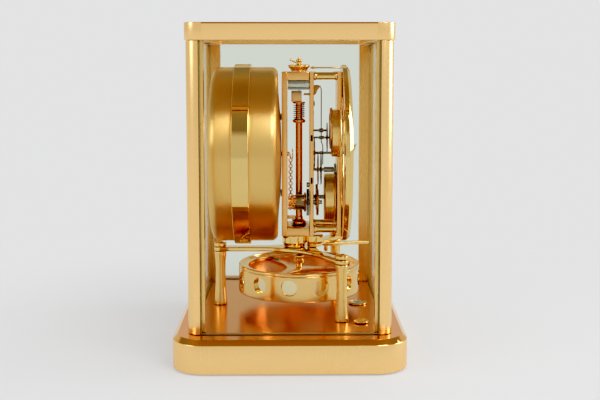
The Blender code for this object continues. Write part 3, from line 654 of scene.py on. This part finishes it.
def make_support():
    profile = [(0, 65), (4.3, 65), (4.7, 64.2), (4.35, 61.5), (4, 57.5), (3.75, 50), (3.85, 42),
               (4.2, 35), (4.6, 29.5), (5, 26.2), (5.1, 24.1), (0, 24.1)]
    nut = [(0, 72.3), (2.2, 72.3), (2.6, 71.7), (4.3, 71.7), (4.8, 71.2), (4.8, 69.4), (4.2, 68.6), (0, 68.6)]
    for heading, where in zip((90, 210, 330), ("rear", "front_left", "front_right")):
        at = about_balance(heading, 60)
        pillar = Piece("pillar_" + where, satin("z"), polished())
        pillar.turned(profile, at, steps=64, radius=0.5)
        pillar.turned(nut, at, steps=64, m=1, radius=0.3)
        pillar.done("satin_gilt")
    plate = Piece("support_platform", polished("none"))
    plate.plate(star(60, 4.8, 13.2, 90), 65.3, 68.3, [circle((0, 0), 2.6, 32)], at=AXIS, edge=0.7, parts=4)
    plate.done("polished_gilt")
    boss = Piece("pedestal", polished("none"))
    boss.turned([(0, 78.2), (8.4, 78.2), (9.1, 77.5), (9.1, 71.6), (8.2, 70.2), (8.2, 68.6), (0, 68.6)],
                (0, -3.3), steps=96, radius=0.5)
    boss.turned([(0, 77.6), (6.3, 77.6), (6.8, 77.1), (6.8, 72.4), (5.6, 71.2), (5.6, 68.6), (0, 68.6)],
                (0, -18.6), steps=72, radius=0.5)
    boss.done("polished_gilt")
    pivot = about_balance(-30, 44)
    lever = Piece("lock_lever", polished("none"), steel())
    lever.plate(capsule(pivot, 3.4, (45, -62), 1.9), 61.9, 64.4, edge=0.5, parts=3)
    lever.turned([(0, 62.3), (1.8, 62.3), (1.8, 58.2), (1.2, 57.4), (0, 57.3)], pivot, steps=32)
    lever.turned(head(64.9, 64.6, 64.35, 2, 2.3), pivot, m=1, steps=32)
    lever.done("polished_gilt", "lock")


# ---------------------------------------------------------------- balance
RING_R, RING_IN, RING_LOW, RING_TOP = 45.9, 41.6, 35.9, 53.4
HOLE_R, HOLE_Z = 5.95, 45.8
FLOOR_R = 43.0       # distance of the floors of the blind rim bores from the axis


def pierced_wall(piece, radius, low, high, turn_start, m, around=48, layers=7):
    """Cylinder wall with twelve round holes; each sector is a fan of rings from its hole to its border."""
    half = pi / 12
    ways = spread(around, shift=0.5)
    signs = [(1 if x > 0 else -1, 1 if y > 0 else -1) for x, y in ways]
    for i in range(12):
        middle = turn_start + 2 * half * i
        rows = []
        for layer in range(layers + 1):
            t = (layer / layers) ** 1.15
            row = []
            for x, y in ways:
                swing, z = asin(HOLE_R * x / radius), HOLE_R * y
                up = (high - HOLE_Z) if z > 0 else (HOLE_Z - low)
                reach = min(half / abs(swing), up / abs(z))
                a = middle + swing + (swing * reach - swing) * t
                row.append((radius * cos(a), -AXIS_F + radius * sin(a), HOLE_Z + z + (z * reach - z) * t))
            rows.append(row)
        last = piece.grid(rows, m)[-1]
        on_end = [min(abs(v.co.z / MM - low), abs(v.co.z / MM - high)) < 1e-4 for v in last]
        for k in range(around):
            n = (k + 1) % around
            if on_end[k] != on_end[n] and signs[k] == signs[n]:
                a, z = middle + signs[k][0] * half, (high if signs[k][1] > 0 else low)
                tip = (radius * cos(a) * MM, (-AXIS_F + radius * sin(a)) * MM, z * MM)
                face = piece.mesh.faces.new((last[k], last[n], piece.mesh.verts.new(tip)))
                face.material_index = m


def make_balance():
    # The inner wall takes the darker copy of the gilt, painted shade; the bore floors take a paler cream
    # gilt, painted highlight.
    ring = Piece("balance_ring", ring_gilt(), mirror_painted_shade("uv"), polished("none"),
                 metal("bore_floor_painted_highlight", (1, 0.86, 0.64), 0.12, "none", 0.05, 0.2))
    start = radians(180 - 9.8)
    pierced_wall(ring, RING_R, RING_LOW, RING_TOP, start, 0)
    ring.grid([[(RING_IN * x, -AXIS_F + RING_IN * y, z) for x, y in spread(180)]
               for z in (RING_LOW, 44, 52)], 1)
    for i in range(12):
        middle = start + pi / 6 * i
        rows = []
        for depth, reach in ((None, HOLE_R), (44.2, HOLE_R), (FLOOR_R + 0.25, HOLE_R),
                             (FLOOR_R, HOLE_R - 0.25),
                             (FLOOR_R, 0.05)):
            row = []
            for x, y in spread(48, shift=0.5):
                side, up = reach * x, reach * y
                out = depth or sqrt(RING_R ** 2 - side ** 2)
                row.append((out * cos(middle) - side * sin(middle),
                            -AXIS_F + out * sin(middle) + side * cos(middle), HOLE_Z + up))
            rows.append(row)
        ring.grid(rows[:3], 2)
        ring.grid(rows[2:], 3)
    upper = [(RING_R, RING_TOP), (RING_R - 0.35, 53.7), (RING_R - 0.35, 54.1), (RING_R, 54.4),
             (RING_R, 55.7), (45.2, 56.4), (43.4, 56.4), (43.2, 55.6), (42.2, 55.5), (42, 54.9), (39, 54.9),
             (38.4, 54.4), (38.4, 52.4), (41.3, 52.4), (RING_IN, 52)]
    lower = [(RING_IN, RING_LOW), (RING_IN + 0.4, 35.3), (RING_IN + 0.8, 35.2), (45.1, 35.2),
             (RING_R - 0.15, 35.4), (RING_R, RING_LOW)]
    for profile in (upper, lower):
        ring.grid([[(r * x, -AXIS_F + r * y, z) for x, y in spread(180, start)] for r,
                   z in soft(profile, 0.2, 2)])
    ring.done("polished_gilt", "balance", 40)
    spider = Piece("balance_spider", movement("none"), steel())
    spider.plate(star(37.9, 3.4, 9.5, 30), 49.2, 52.1, at=AXIS, edge=0.35, m=0)
    for arm in (30, 150, 270):
        at = about_balance(arm, 34.5)
        spider.turned(head(53, 52.7, 52, 1.6, 2), at, m=1, steps=32)
    spider.done("gilt_movement", "balance")
    staff = Piece("balance_staff", polished())
    staff.turned([(0, 85), (1.6, 85), (1.6, 62.4), (4.2, 61.6), (4.2, 59.4), (3.7, 59), (3.7, 58.4),
                  (4.2, 58), (4.2, 56.2), (2.4, 55.4), (2.4, 52.4), (0, 52.4)], AXIS, steps=56)
    staff.done("gilt_movement", "balance")


def make_tube():
    """Suspension: tube with its fork, thread, wire coil, upper clamp and regulator."""
    tube = Piece("suspension_tube", copper(), copper("none"), steel(),
                 metal("plum_disc", (0.30, 0.16, 0.12), 0.3, "none"))
    tube.turned([(0, 178), (2.5, 178), (2.5, 166), (2.5, 165.6), (3.9, 165.6), (4.75, 165.1), (4.75, 163.4),
                 (3.9, 162.9), (2.5, 162.9), (2.5, 91.8), (2.9, 91.6), (2.9, 89.4), (0, 89.4)], AXIS,
                steps=64)
    tube.turned([(0, 89.4), (3.6, 89.4), (4.4, 88.4), (5.2, 87.9), (5.2, 86.2), (4.6, 85.9), (0, 85.9)],
                AXIS, steps=40)
    tube.turned([(0, 86.3), (5.9, 86.1), (6, 85.6), (5.4, 85.3), (0, 85.3)], AXIS, m=3, steps=56)
    tube.turned([(0, 178.8), (4.7, 178.6), (4.7, 177.5), (0, 177.5)], AXIS, steps=48)
    for x in (-2.35, 1.15):
        tube.box((x, -8.8, 178.7), (x + 1.2, -1.2, 187), 0.25, 1)
    tube.box((-2.3, -8.8, 178.7), (2.3, -7.6, 187), 0.25, 1)
    tube.box((-2.3, -4.2, 178.7), (2.3, -1.2, 187), 0.25, 1)
    tube.turned([(0, 187), (0.75, 186.6), (0.75, 179), (0, 178.8)], (-0.4, -5.7), m=2, steps=20)
    tube.tube([(3.4 * x, -AXIS_F + 3.4 * y, 165.9) for x, y in spread(40)], 0.22, 2, 6, True)
    tube.done("copper_tube", "balance")
    spring = Piece("suspension_spring", blued())
    spring.tube(helix(AXIS, 4.1, 166.4, 177.1, 7, 28), 0.24, 0, 8)
    spring.done("steel", "balance")
    clamp = Piece("suspension_clamp", steel("x"), metal("bright_steel", (0.78, 0.76, 0.70), 0.2, "x", 0.1))
    clamp.box((-16, -14.2, 188.3), (16, 1.4, 190.2), 0.3, 0)
    clamp.box((-15.8, -14, 190.2), (15.8, 1.2, 193), 0.2, 1)
    clamp.box((-16, -14.2, 193), (16, 1.4, 194.8), 0.3, 0)
    clamp.done("steel")
    thread = Piece("torsion_wire", steel())
    thread.rod(0.28, 87.3, 188, AXIS, steps=12, edge=0.05)
    thread.done("steel")
    wheel = Piece("regulator_wheel", polished(), polished("none"))
    wheel.turned([(0, 206.2), (5, 206.2), (5.6, 206.6), (7.6, 206.6), (8.25, 206.1), (8.25, 204.9),
                  (7.4, 204.2), (5.9, 202.4), (5.9, 201.7), (0, 201.7)], AXIS, steps=72)
    wheel.plate(gear(8.3, 0.3, 60), 204.95, 206, at=AXIS, edge=0.08)
    wheel.turned([(0, 212.4), (0.7, 212.2), (1, 211.4), (1, 210.7), (2.35, 210.2), (2.5, 209.4),
                  (1.9, 208.7), (1.9, 206), (0, 206)], AXIS, steps=40)
    wheel.tube([(-1.2, -4.9, 208), (-1.6, -2.2, 209.2), (-1.8, -1.2, 210.2)], 0.45, 1, 10)
    wheel.turned([(0, 211.2), (1, 210.9), (1.2, 210.1), (0.9, 209.3), (0, 209.2)], (-1.8, -1.2), steps=24)
    wheel.done("polished_gilt", "regulator")
    rod = Piece("regulator_rod", polished("none"))
    rod.rod(0.5, 15.5, 38.2, (0, 204.3), True, steps=20)
    rod.turned([(0, 19), (0.95, 18.8), (0.95, 16.6), (0, 16.4)], (0, 204.3), True, steps=20)
    rod.done("polished_gilt", "regulator")


# ---------------------------------------------------------------- movement
def screw(piece, at, front, radius=2.3, m=1, depth=0.9):
    """Slotted screw head facing the dial at front distance f."""
    x, z = at
    piece.turned([(0, front + depth), (radius * 0.8, front + depth), (radius, front + depth * 0.6),
                  (radius, front - 0.2), (0, front - 0.2)], at, True, 28, m=m, radius=0.2)
    # The slot is a near-black bar laid on the head: painted shade of a slot.
    piece.box((x - radius * 0.85, -front - depth - 0.03, z - 0.18),
              (x + radius * 0.85, -front - depth + 0.2, z + 0.18), 0.05, 2)


# Near-black finish: printed minute ticks on the dial ring, painted shade in the screw slots, and two dark
# strips on the rear plate's left edge.
INK_AND_SLOT_SHADE = paint("ink_and_painted_slot_shade", (0.02, 0.018, 0.015), 0.6, 0.1)


def make_frame():
    bracket = Piece("rear_bracket", movement("z"), polished(), steel())
    bracket.box((-PLATE_HALF, 1.9, PLATE_LOW), (PLATE_HALF, 6, PLATE_TOP), 0.45)
    bracket.box((-PLATE_HALF, -14.35, 195.1), (PLATE_HALF, 2.2, PLATE_TOP), 0.45)
    bracket.box((-PLATE_HALF, -14.35, PLATE_LOW), (PLATE_HALF, 2.2, 85), 0.45)
    bracket.turned([(2.2, 2.4), (3.6, 2.4), (3.9, 2.1), (3.9, 1.7), (2.2, 1.7)], (0, DRUM_Z), True, 40,
                   True, 1)
    for x in (-11.5, 11.5):
        for z in (88.5, 191):
            bracket.turned(head(2.8, 2.4, 1.8, 1.9, 2.3), (x, z), True, 28, m=2)
    bracket.box((-2.2, -4.2, 89.9), (2.2, 2.2, 92), 0.3)
    for z in (109.7, 167.5):
        bracket.box((-4, 5.9, z - 2.2), (4, 7.15, z + 2.2), 0.2, 2)
    bracket.done("gilt_movement")
    low, high, half = PLATE_LOW, PLATE_TOP, PLATE_HALF
    outline = [(-half, low), (half, low), (half, high), (-half, high)]
    slot = [(-6.4, 182), (0.4, 182), (0.4, 187), (-6.4, 187)]
    rear = Piece("rear_plate", movement("z"), steel(), INK_AND_SLOT_SHADE, polished())
    rear.plate(outline, 14.7, 17.6, [circle(WINDING, 1.9, 28), slot], "FRONT", edge=0.4)
    for at in (BARREL, SECOND, DIAL, ESCAPE, PALLET):
        rear.turned(head(17.9, 17.7, 17.4, 1.9, 2.2), at, True, 32, m=3)
    for x, z in ((-13.5, 131), (-13.5, 178), (12.5, 170), (13, 118)):
        screw(rear, (x, z), 17.5, 1.9)
    for z in (118.5, 150.2):
        rear.box((-17.12, -16.9, z), (-16.9, -15.4, z + 4.5), 0.08, 2)
    rear.done("gilt_movement")
    front = Piece("front_plate", movement("z"), steel(), INK_AND_SLOT_SHADE, polished())
    notch_r, side = 18, -half - COVER[0]
    reach = degrees(atan2(sqrt(notch_r ** 2 - side ** 2), side))
    notch = arc(COVER, notch_r, -reach, reach, 40)
    shape = [(half, low), (half, high), (-half, high), *notch[::-1], (-half, low)]
    front.plate(shape, 35.1, 38.3, [circle(DIAL, 2.4, 28), circle(BARREL, 1.6, 28)], "FRONT", edge=0.4)
    for x, z in ((-14.2, 84.1), (14.2, 84.1), (-14.2, 198.2), (14.2, 198.2)):
        front.turned(head(39.1, 38.8, 38.1, 1.9, 2.3), (x, z), True, 28, m=1)
    for at in (SECOND, ESCAPE):
        front.turned(head(38.8, 38.6, 38.1, 1.6, 2), at, True, 28, m=3)
    front.done("gilt_movement")
    for z, level in ((198.2, "top"), (84.1, "bottom")):
        for x, side in ((-14.2, "left"), (14.2, "right")):
            name = "plate_pillar_" + level + "_" + side
            pillar = Piece(name, polished())
            pillar.turned([(0, 34.8), (3.1, 34.8), (3.1, 33.6), (2.65, 33.1), (2.65, 19.6), (3.1, 19.1),
                           (3.1, 17.9), (0, 17.9)], (x, z), True, 40)
            pillar.done("polished_gilt")


def wheel(piece, at, tip, depth, teeth, low, high, m, spokes=4, hub=3, rim=2, lean=0):
    holes = windows(hub, tip - depth - rim, spokes, 0.9) if spokes else []
    piece.plate(gear(tip, depth, teeth, lean), low, high, holes, "FRONT", at, 0.1, m, 1)
    piece.turned([(0, high + 0.6), (hub * 0.6, high + 0.6), (hub * 0.75, high), (hub * 0.75, low),
                  (hub * 0.6, low - 0.6), (0, low - 0.6)], at, True, 32, m=m)


def chain_link(piece, centre, tangent, across, m):
    """One round ring lying in the plane of tangent and across."""
    points = [tuple(Vector(centre) + Vector(tangent) * (1.25 * x) + Vector(across) * (1.2 * y))
              for x, y in spread(18)]
    piece.tube(points, 0.42, m, 8, True)


def make_train():
    x, z = WINDING
    arbor = Piece("winding_gear", steel(), brown(), movement("none"))
    arbor.rod(1.4, 2, 24, WINDING, True, steps=28)
    wheel(arbor, WINDING, 9.8, 0.8, 44, 19.7, 21.3, 1, 0, 3.2)
    arbor.turned(bar(2.3, 19.4, 18.2), WINDING, True, 28, m=0)
    arbor.done("copper_tube", "winding_arbor")
    ratchet = Piece("ratchet_wheel", steel("uv"))
    ratchet.plate(gear(9.9, 0.9, 48, 1), 12.4, 14.3, [circle((0, 0), 1.5, 24)], "FRONT", WINDING, 0.12)
    ratchet.done("steel", "winding_arbor")
    drum = Piece("winding_drum", movement("none"), metal("bronze_spool", (0.50, 0.37, 0.24), 0.3, "none"),
                 brown())
    drum.turned([(1.6, 12), (6.4, 12), (7.3, 11.4), (7.3, 10.9), (6.2, 10.4), (1.6, 10.4)], WINDING,
                True, 56, True, 2)
    drum.plate(gear(5.7, 0.45, 30), 4, 10.4, [circle((0, 0), 1.6, 24)], "FRONT", WINDING, 0.15, 1)
    drum.turned([(1.6, 4.2), (3.5, 4.2), (3.3, 3.4), (3.3, -1.2), (1.6, -1.2)], WINDING, True, 40, True, 0)
    for turn in range(3):
        for k in range(9):
            a = 2 * pi * k / 9 + turn * 0.35
            if turn < 2 and (a < 1.4 or a > 5.9):
                continue
            centre = (x + 4.7 * cos(a), -(0.1 + 1.55 * turn), z + 4.7 * sin(a))
            tangent = (-sin(a), 0, cos(a))
            across = (0, 1, 0) if (k + turn) % 2 else (cos(a), 0, sin(a))
            chain_link(drum, centre, tangent, across, 0)
    drum.done("gilt_movement", "chain_drum")
    chain = Piece("winding_chain", movement("none"), brown())
    cx = x + 4.8
    for k in range(7):
        level = 109 + 4.4 * k
        chain_link(chain, (cx, -0.5, level), (0, 0, 1), (0, 1, 0), 0)
        chain.box((cx - 0.5, -1.1, level + 1), (cx + 0.5, 0.1, level + 3.4), 0.25, 1)
    chain.done("gilt_movement", "chain")
    click = Piece("click", steel())
    click.plate(capsule((x - 1, z + 13.2), 1.8, (x + 6.4, z + 11.4), 0.6), 12.5, 14.3, facing="FRONT",
                edge=0.2)
    click.turned(head(15, 14.7, 14.1, 1.2, 1.4), (x - 1, z + 13.2), True, 24)
    click.done("steel")
    barrel = Piece("mainspring_barrel", satin("uv"), brown())
    barrel.turned([(2.2, 34.2), (16.9, 34.2), (16.9, 34.7), (19.2, 34.7), (19.9, 34.3), (19.9, 33.7),
                   (19.2, 33.3), (18.1, 33.2), (18.1, 26.7), (17.3, 25.9), (2.2, 25.9), (2.2, 27.1),
                   (16.9, 27.1), (16.9, 33.4), (2.2, 33.4)], BARREL, True, 120, True, 0)
    barrel.plate(gear(20, 0.9, 96), 33.5, 34.5, [circle((0, 0), 17.5, 64)], "FRONT", BARREL, 0.1, 0, 1)
    barrel.done("satin_gilt", "barrel")
    arbor = Piece("barrel_arbor", steel(), brown())
    arbor.rod(1.45, 17.9, 38, BARREL, True, steps=28)
    wheel(arbor, BARREL, 9.7, 0.8, 44, 19.7, 21.3, 1, 0, 3.2)
    arbor.box((BARREL[0] - 1, -39.6, BARREL[1] - 1), (BARREL[0] + 1, -37.9, BARREL[1] + 1), 0.2)
    arbor.done("steel", "barrel_arbor_body")
    second = Piece("second_wheel", steel(), brown(), blued())
    second.rod(0.95, 17.9, 34.8, SECOND, True, steps=20)
    wheel(second, SECOND, 11.6, 0.8, 72, 20.8, 21.4, 1, 5, 2.6)
    wheel(second, SECOND, 11.3, 0.8, 72, 23.1, 23.7, 2, 5, 2.6)
    second.plate(gear(4.5, 0.9, 14), 33.3, 34.6, [], "FRONT", SECOND, 0.12, 0)
    second.turned(bar(1.9, 32.9, 25.6), SECOND, True, 28, m=0)
    second.done("copper_tube", "second_arbor")
    centre = Piece("centre_wheel", steel(), brown())
    centre.rod(0.9, 17.9, 44.6, DIAL, True, steps=20)
    wheel(centre, DIAL, 11, 0.7, 66, 18.4, 18.9, 1, 5, 2.4)
    centre.turned([(0, 25.6), (1.25, 25.4), (1.25, 22.6), (0, 22.4)], DIAL, True, 28, m=0)
    centre.done("copper_tube", "centre_arbor")
    escape = Piece("escape_wheel", steel())
    escape.rod(0.7, 17.9, 34.8, ESCAPE, True, steps=20)
    wheel(escape, ESCAPE, 11.4, 1.7, 15, 28, 28.6, 0, 5, 2.2, 1.4, 1)
    escape.turned([(0, 26), (1.3, 25.8), (1.3, 22.4), (0, 22.2)], ESCAPE, True, 24)
    escape.done("steel", "escape_arbor")


def make_escapement():
    x = PALLET[0]
    lever = Piece("pallet_lever", blued(), brown())
    lever.rod(0.7, 17.9, 27.6, PALLET, True, steps=20)
    lever.turned([(0, 25.4), (1.5, 25), (1.5, 22.2), (0, 21.8)], PALLET, True, 28, m=0)
    path = [(x, -24.8, 131.6), (x, -24.8, 145.6), (x, -24.4, 147), (x, -23.7, 148.4), (x, -23.6, 150),
            (x, -23.6, 187),
            (x, -23.4, 189), (x, -22.6, 190.4), (x, -21.4, 191), (x, -18.6, 191), (x, -18.2, 190.8)]
    lever.tube(path, 0.32, 0, 10)
    lever.plate([(-23.2, 190.9), (-18, 190.9), (-18, 184.4), (-19.4, 184.4), (-20.6, 187.4)], x - 0.6,
                x + 0.6, facing="SIDE", edge=0.12, m=1)
    lever.box((x - 0.6, -18.6, 183.8), (x + 0.6, -10.4, 185.2), 0.2, 1)
    lever.done("blued_wire", "pallets")
    cx, cz = COVER
    cover = Piece("escapement_cover", satin("uv"), copper("none"), steel())
    cover.turned([(0, 38.2), (16.4, 38.2), (17.6, 37.2), (17.6, 31), (16.6, 31), (16.6, 36.6), (16, 37.2),
                  (0, 37.2)], COVER, True, 120, radius=0.4)
    at = (cx, cz + 3.6)
    cover.plate(circle(at, 15.4, 96), 29.6, 31.4, [circle(at, 12, 64)], "FRONT", edge=0.3, m=1)
    for a in (60, 180, 300):
        spot = (cx + 11.5 * cos(radians(a)), cz + 11.5 * sin(radians(a)))
        cover.turned(head(39, 38.8, 38, 1.3, 1.6), spot, True, 24, m=2)
    cover.done("satin_gilt")


# ---------------------------------------------------------------- dial and hands
def hand(length, half_width, tail, boss, angle):
    heading = radians(90 - angle)
    upper = [(-tail, 0.7), (-tail * 0.8, 1.1), (-boss * 0.95, 0.9), (-boss * 0.7, boss * 0.7), (0, boss),
             (boss * 0.7, boss * 0.7), (boss * 0.95, half_width * 0.45), (length * 0.30, half_width),
             (length * 0.62, half_width * 0.72), (length, 0.16)]
    lower = [(a, -b) for a, b in reversed(upper)]
    return [(a * cos(heading) - b * sin(heading), a * sin(heading) + b * cos(heading))
            for a, b in upper + lower]


def add_text(piece, words, at, size, front, m):
    curve = bpy.data.curves.new("numeral", "FONT")
    curve.body = words
    curve.size = size * MM
    curve.align_x = "CENTER"
    curve.align_y = "CENTER"
    curve.extrude = 0.25 * MM
    curve.bevel_depth = 0.06 * MM
    mesh = curve_mesh(curve)
    mesh.transform(facing_move("FRONT", at, front))
    piece.take(mesh, m)


def radial(angle, inner, outer, inner_half, outer_half):
    """Four corners of a mark on the dial, between two radii at a clock angle."""
    across = (cos(angle), -sin(angle))
    along = (sin(angle), cos(angle))
    return [(r * along[0] + w * across[0], r * along[1] + w * across[1]) for r,
            w in ((inner, -inner_half), (outer, -outer_half), (outer, outer_half), (inner, inner_half))]


def make_dial():
    ring = Piece("dial_ring", polished(), paint("chapter_white", (0.86, 0.84, 0.79), 0.4, 0.1),
                 polished("none"), INK_AND_SLOT_SHADE)
    ring.turned([(42.6, 43.4), (43.4, 43.9), (44.4, 43.4), (44.4, 43), (61.6, 43), (61.6, 43.6),
                 (62.6, 44.2), (63.8, 44.2), (66.5, 41.8), (66.5, 38.9), (66.2, 38.6), (42.3, 38.6),
                 (42, 38.9), (42, 42.6)], DIAL, True, 180, True, 0, 0.3)
    ring.turned([(44.5, 43.3), (61.5, 43.3), (61.5, 42.9), (44.5, 42.9)], DIAL, True, 180, True, 1, 0.05)
    for i in range(60):
        angle = radians(6 * i)
        inner, outer, half_width = (57.2, 60.4, 0.16) if i % 5 else (56.4, 60.4, 0.5)
        ring.plate(radial(angle, inner, outer, half_width, half_width), 43.25, 43.6, (), "FRONT",
                   DIAL, 0.06, 3 if i % 5 else 2, 1)
        if i % 15 == 0:
            words = {0: "12", 15: "3", 30: "6", 45: "9"}[i]
            add_text(ring, words, (51.2 * sin(angle), DIAL_Z + 51.2 * cos(angle)), 9.5, 43.5, 2)
        elif i % 5 == 0:
            ring.plate(radial(angle, 46.6, 55.2, 0.7, 1.5), 43.25, 44.1, (), "FRONT", DIAL, 0.25, 2, 2)
    ring.done("dial_ring")
    for name, body, shape, low, high in (
            ("hour_hand", "hour_pipe", hand(33, 3, 6, 3.6, 53.5), 45, 45.7),
            ("minute_hand", "centre_arbor", hand(54, 2.7, 9, 3, 282), 46.3, 47)):
        piece = Piece(name, polished("none"))
        piece.plate(shape, low, high, (), "FRONT", DIAL, 0.15, 0, 2)
        if name == "minute_hand":
            piece.turned(head(48.4, 47.8, 46.2, 1.6, 2.2), DIAL, True, 36)
        else:
            piece.turned([(1.3, 46), (2.6, 46), (3, 45.7), (3, 44.6), (1.3, 44.6)], DIAL, True, 36, True)
        piece.done("gilt_movement", body)


# ---------------------------------------------------------------- bellows drum
DRUM_R = 65.4
WALL = 1.2           # thickness of both drum shells


def make_drum():
    axis = (0, DRUM_Z)
    corner = 6
    back, split = -57.7, -34.8
    outer = arc((DRUM_R - corner, back + corner), corner, 0, -90, 15)
    rear = Piece("drum_rear_shell", drum_satin("uv"))
    inner = arc((DRUM_R - corner, back + corner), corner - WALL, -90, 0, 9)
    rear.turned([(0, back + WALL), *inner, (DRUM_R - WALL, split - 0.3), (DRUM_R, split - 0.3), *outer,
                 (30, back + 0.05),
                 (29.6, back + 0.45), (28.6, back + 0.45), (28.2, back), (0, back)], axis, True, 200)
    rear.done("satin_gilt")
    nose, front = 4.6, -9
    dome = [(3, -6.5), (12, -6.6), (20, -6.9), (30, -7.3), (38, -8), (45, -8.5),
            (50, front), (57, front - 0.02)]
    edge = arc((DRUM_R - nose, front - nose), nose, 90, 0, 15)
    shell = Piece("drum_front_shell", drum_satin("uv"))
    under = arc((DRUM_R - nose, front - nose), nose - WALL, 0, 90, 9)
    shell.turned([*dome, *edge, (DRUM_R, split), (DRUM_R - WALL, split), *under,
                  *((r, f - WALL) for r, f in reversed(dome))], axis, True, 200, True)
    shell.done("satin_gilt")
    band = Piece("drum_band", polished())
    band.turned([(67.35, -28.7), (67.8, -29.1), (67.8, -40.6), (67.35, -41), (65.5, -41), (65.5, -28.7)],
                axis, True, 240, True, 0, 0.2)
    band.done("polished_gilt")
    push = Piece("push_plate", movement("none"))
    push.turned([(0, -0.4), (1.5, -0.4), (1.5, -22.6), (6, -24), (21, -24.6), (21, -26.2),
                 (0, -26.2)], axis, True, 64)
    push.tube([(-9.2, 0.5, DRUM_Z), (-4, 0.5, DRUM_Z), (0.5, 0.5, DRUM_Z)], 0.8, 0, 16)
    push.tube([(-9.2, 0.4, DRUM_Z), (-9.2, -0.4, DRUM_Z - 0.4), (-9.2, -0.5, DRUM_Z - 1.4)], 0.6, 0, 12)
    push.done("gilt_movement", "bellows_plunger")


make_base()
make_case()
make_support()
make_balance()
make_tube()
make_frame()
make_train()
make_escapement()
make_dial()
make_drum()
for name, finish in (("base_cover", paint("cover_black", (0.035, 0.035, 0.035), 0.55, 0.3)),
                     ("bellows", satin("none")), ("return_spring", steel()), ("mainspring", steel())):
    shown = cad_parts[name]
    shown.data.materials.clear()
    shown.data.materials.append(finish)


# ---------------------------------------------------------------- floor, light, camera
def floor_material():
    """Pale floor: lit softly near the object and fading to the even backdrop tone further out."""
    material, tree, shader = new_material("floor")
    shader.inputs["Base Color"].default_value = (0.70, 0.705, 0.71, 1.0)
    shader.inputs["Roughness"].default_value = 0.9
    glow = node(tree, "ShaderNodeEmission", {"Color": rgba(BACKDROP)})
    coords = node(tree, "ShaderNodeTexCoord")
    far = node(tree, "ShaderNodeVectorMath", {0: coords.outputs["Object"]},
               operation="LENGTH").outputs["Value"]
    fade = node(tree, "ShaderNodeMapRange", {"Value": far, "From Min": 0.10, "From Max": 0.42, "To Min": 0.45,
                                             "To Max": 1.0}, interpolation_type="SMOOTHSTEP")
    mix_surface(tree, fade.outputs[0], shader, glow)
    return material


BACKDROP = (0.768, 0.768, 0.772)
mesh = bpy.data.meshes.new("floor")
size = 30.0
mesh.from_pydata([(-size, -size, 0), (size, -size, 0), (size, size, 0), (-size, size, 0)], [], [(0, 1, 2, 3)])
floor = place("floor", mesh)
mesh.materials.append(floor_material())


def make_world():
    """Even backdrop for the camera; reflections see a studio with a dark warm ceiling and grey walls."""
    world = bpy.data.worlds.new("studio")
    bpy.context.scene.world = world
    world.use_nodes = True
    tree = world.node_tree
    back = tree.nodes["Background"]
    coords = node(tree, "ShaderNodeTexCoord")
    split = node(tree, "ShaderNodeSeparateXYZ", {0: coords.outputs["Generated"]})
    lift = math_node(tree, "MULTIPLY_ADD", split.outputs["Z"], 0.5, 0.5)
    ramp = node(tree, "ShaderNodeValToRGB", {0: lift})
    stops = [(0.0, (0.74, 0.74, 0.74)), (0.49, (0.68, 0.68, 0.68)), (0.52, (0.64, 0.64, 0.64)),
             (0.72, (0.68, 0.66, 0.63)), (0.78, (0.30, 0.26, 0.20)), (0.88, (0.34, 0.29, 0.22)),
             (0.94, (0.42, 0.32, 0.20)), (1.0, (0.32, 0.20, 0.10))]
    for i, (height, colour) in enumerate(stops):
        stop = ramp.color_ramp.elements[i] if i < 2 else ramp.color_ramp.elements.new(height)
        stop.position = height
        stop.color = rgba(colour)
    rays = node(tree, "ShaderNodeLightPath")
    tree.links.new(mix_colour(tree, rays.outputs["Is Glossy Ray"], rgba(BACKDROP), ramp.outputs[0]),
                   back.inputs["Color"])
    back.inputs["Strength"].default_value = 1.0


def card(name, centre, size_x, size_y, power, colour=(1.0, 1.0, 1.0), aim=(0.0, 0.0, 0.13)):
    """Softbox seen only in reflections and as light."""
    light = bpy.data.lights.new(name, "AREA")
    light.shape = "RECTANGLE"
    light.size = size_x
    light.size_y = size_y
    light.energy = power
    light.color = colour
    thing = place(name, light)
    thing.location = centre
    thing.rotation_euler = (Vector(aim) - Vector(centre)).to_track_quat("-Z", "Y").to_euler()
    thing.visible_camera = False
    return thing


make_world()
card("key_front", (-0.85, -0.62, 1.05), 0.70, 0.62, 6.6)
card("fill_rear", (-0.70, 1.10, 0.75), 0.6, 0.6, 2.5)
card("dial_side", (0.10, -1.30, 0.55), 0.7, 0.8, 6.0)

camera = bpy.data.cameras.new("camera")
camera.lens = 59.06
camera.sensor_width = 36.0
camera.sensor_fit = "HORIZONTAL"
camera.shift_y = -0.08
camera.clip_start = 0.01
eye = place("camera", camera)
eye.location = (-0.7429, -0.0003, 0.20916)
pitch, yaw = radians(5.269), radians(0.567)
heading = Vector((cos(pitch) * cos(yaw), -cos(pitch) * sin(yaw), -sin(pitch)))
eye.rotation_euler = heading.to_track_quat("-Z", "Y").to_euler()
bpy.context.scene.camera = eye
tone = bpy.context.scene.view_settings
tone.view_transform = "Standard"
tone.look = "None"
tone.use_curve_mapping = True
curve = tone.curve_mapping.curves[3]
for x, y in ((0.05, 0.006), (0.12, 0.066), (0.21, 0.158), (0.36, 0.335), (0.60, 0.60)):
    curve.points.new(x, y)
tone.curve_mapping.update()
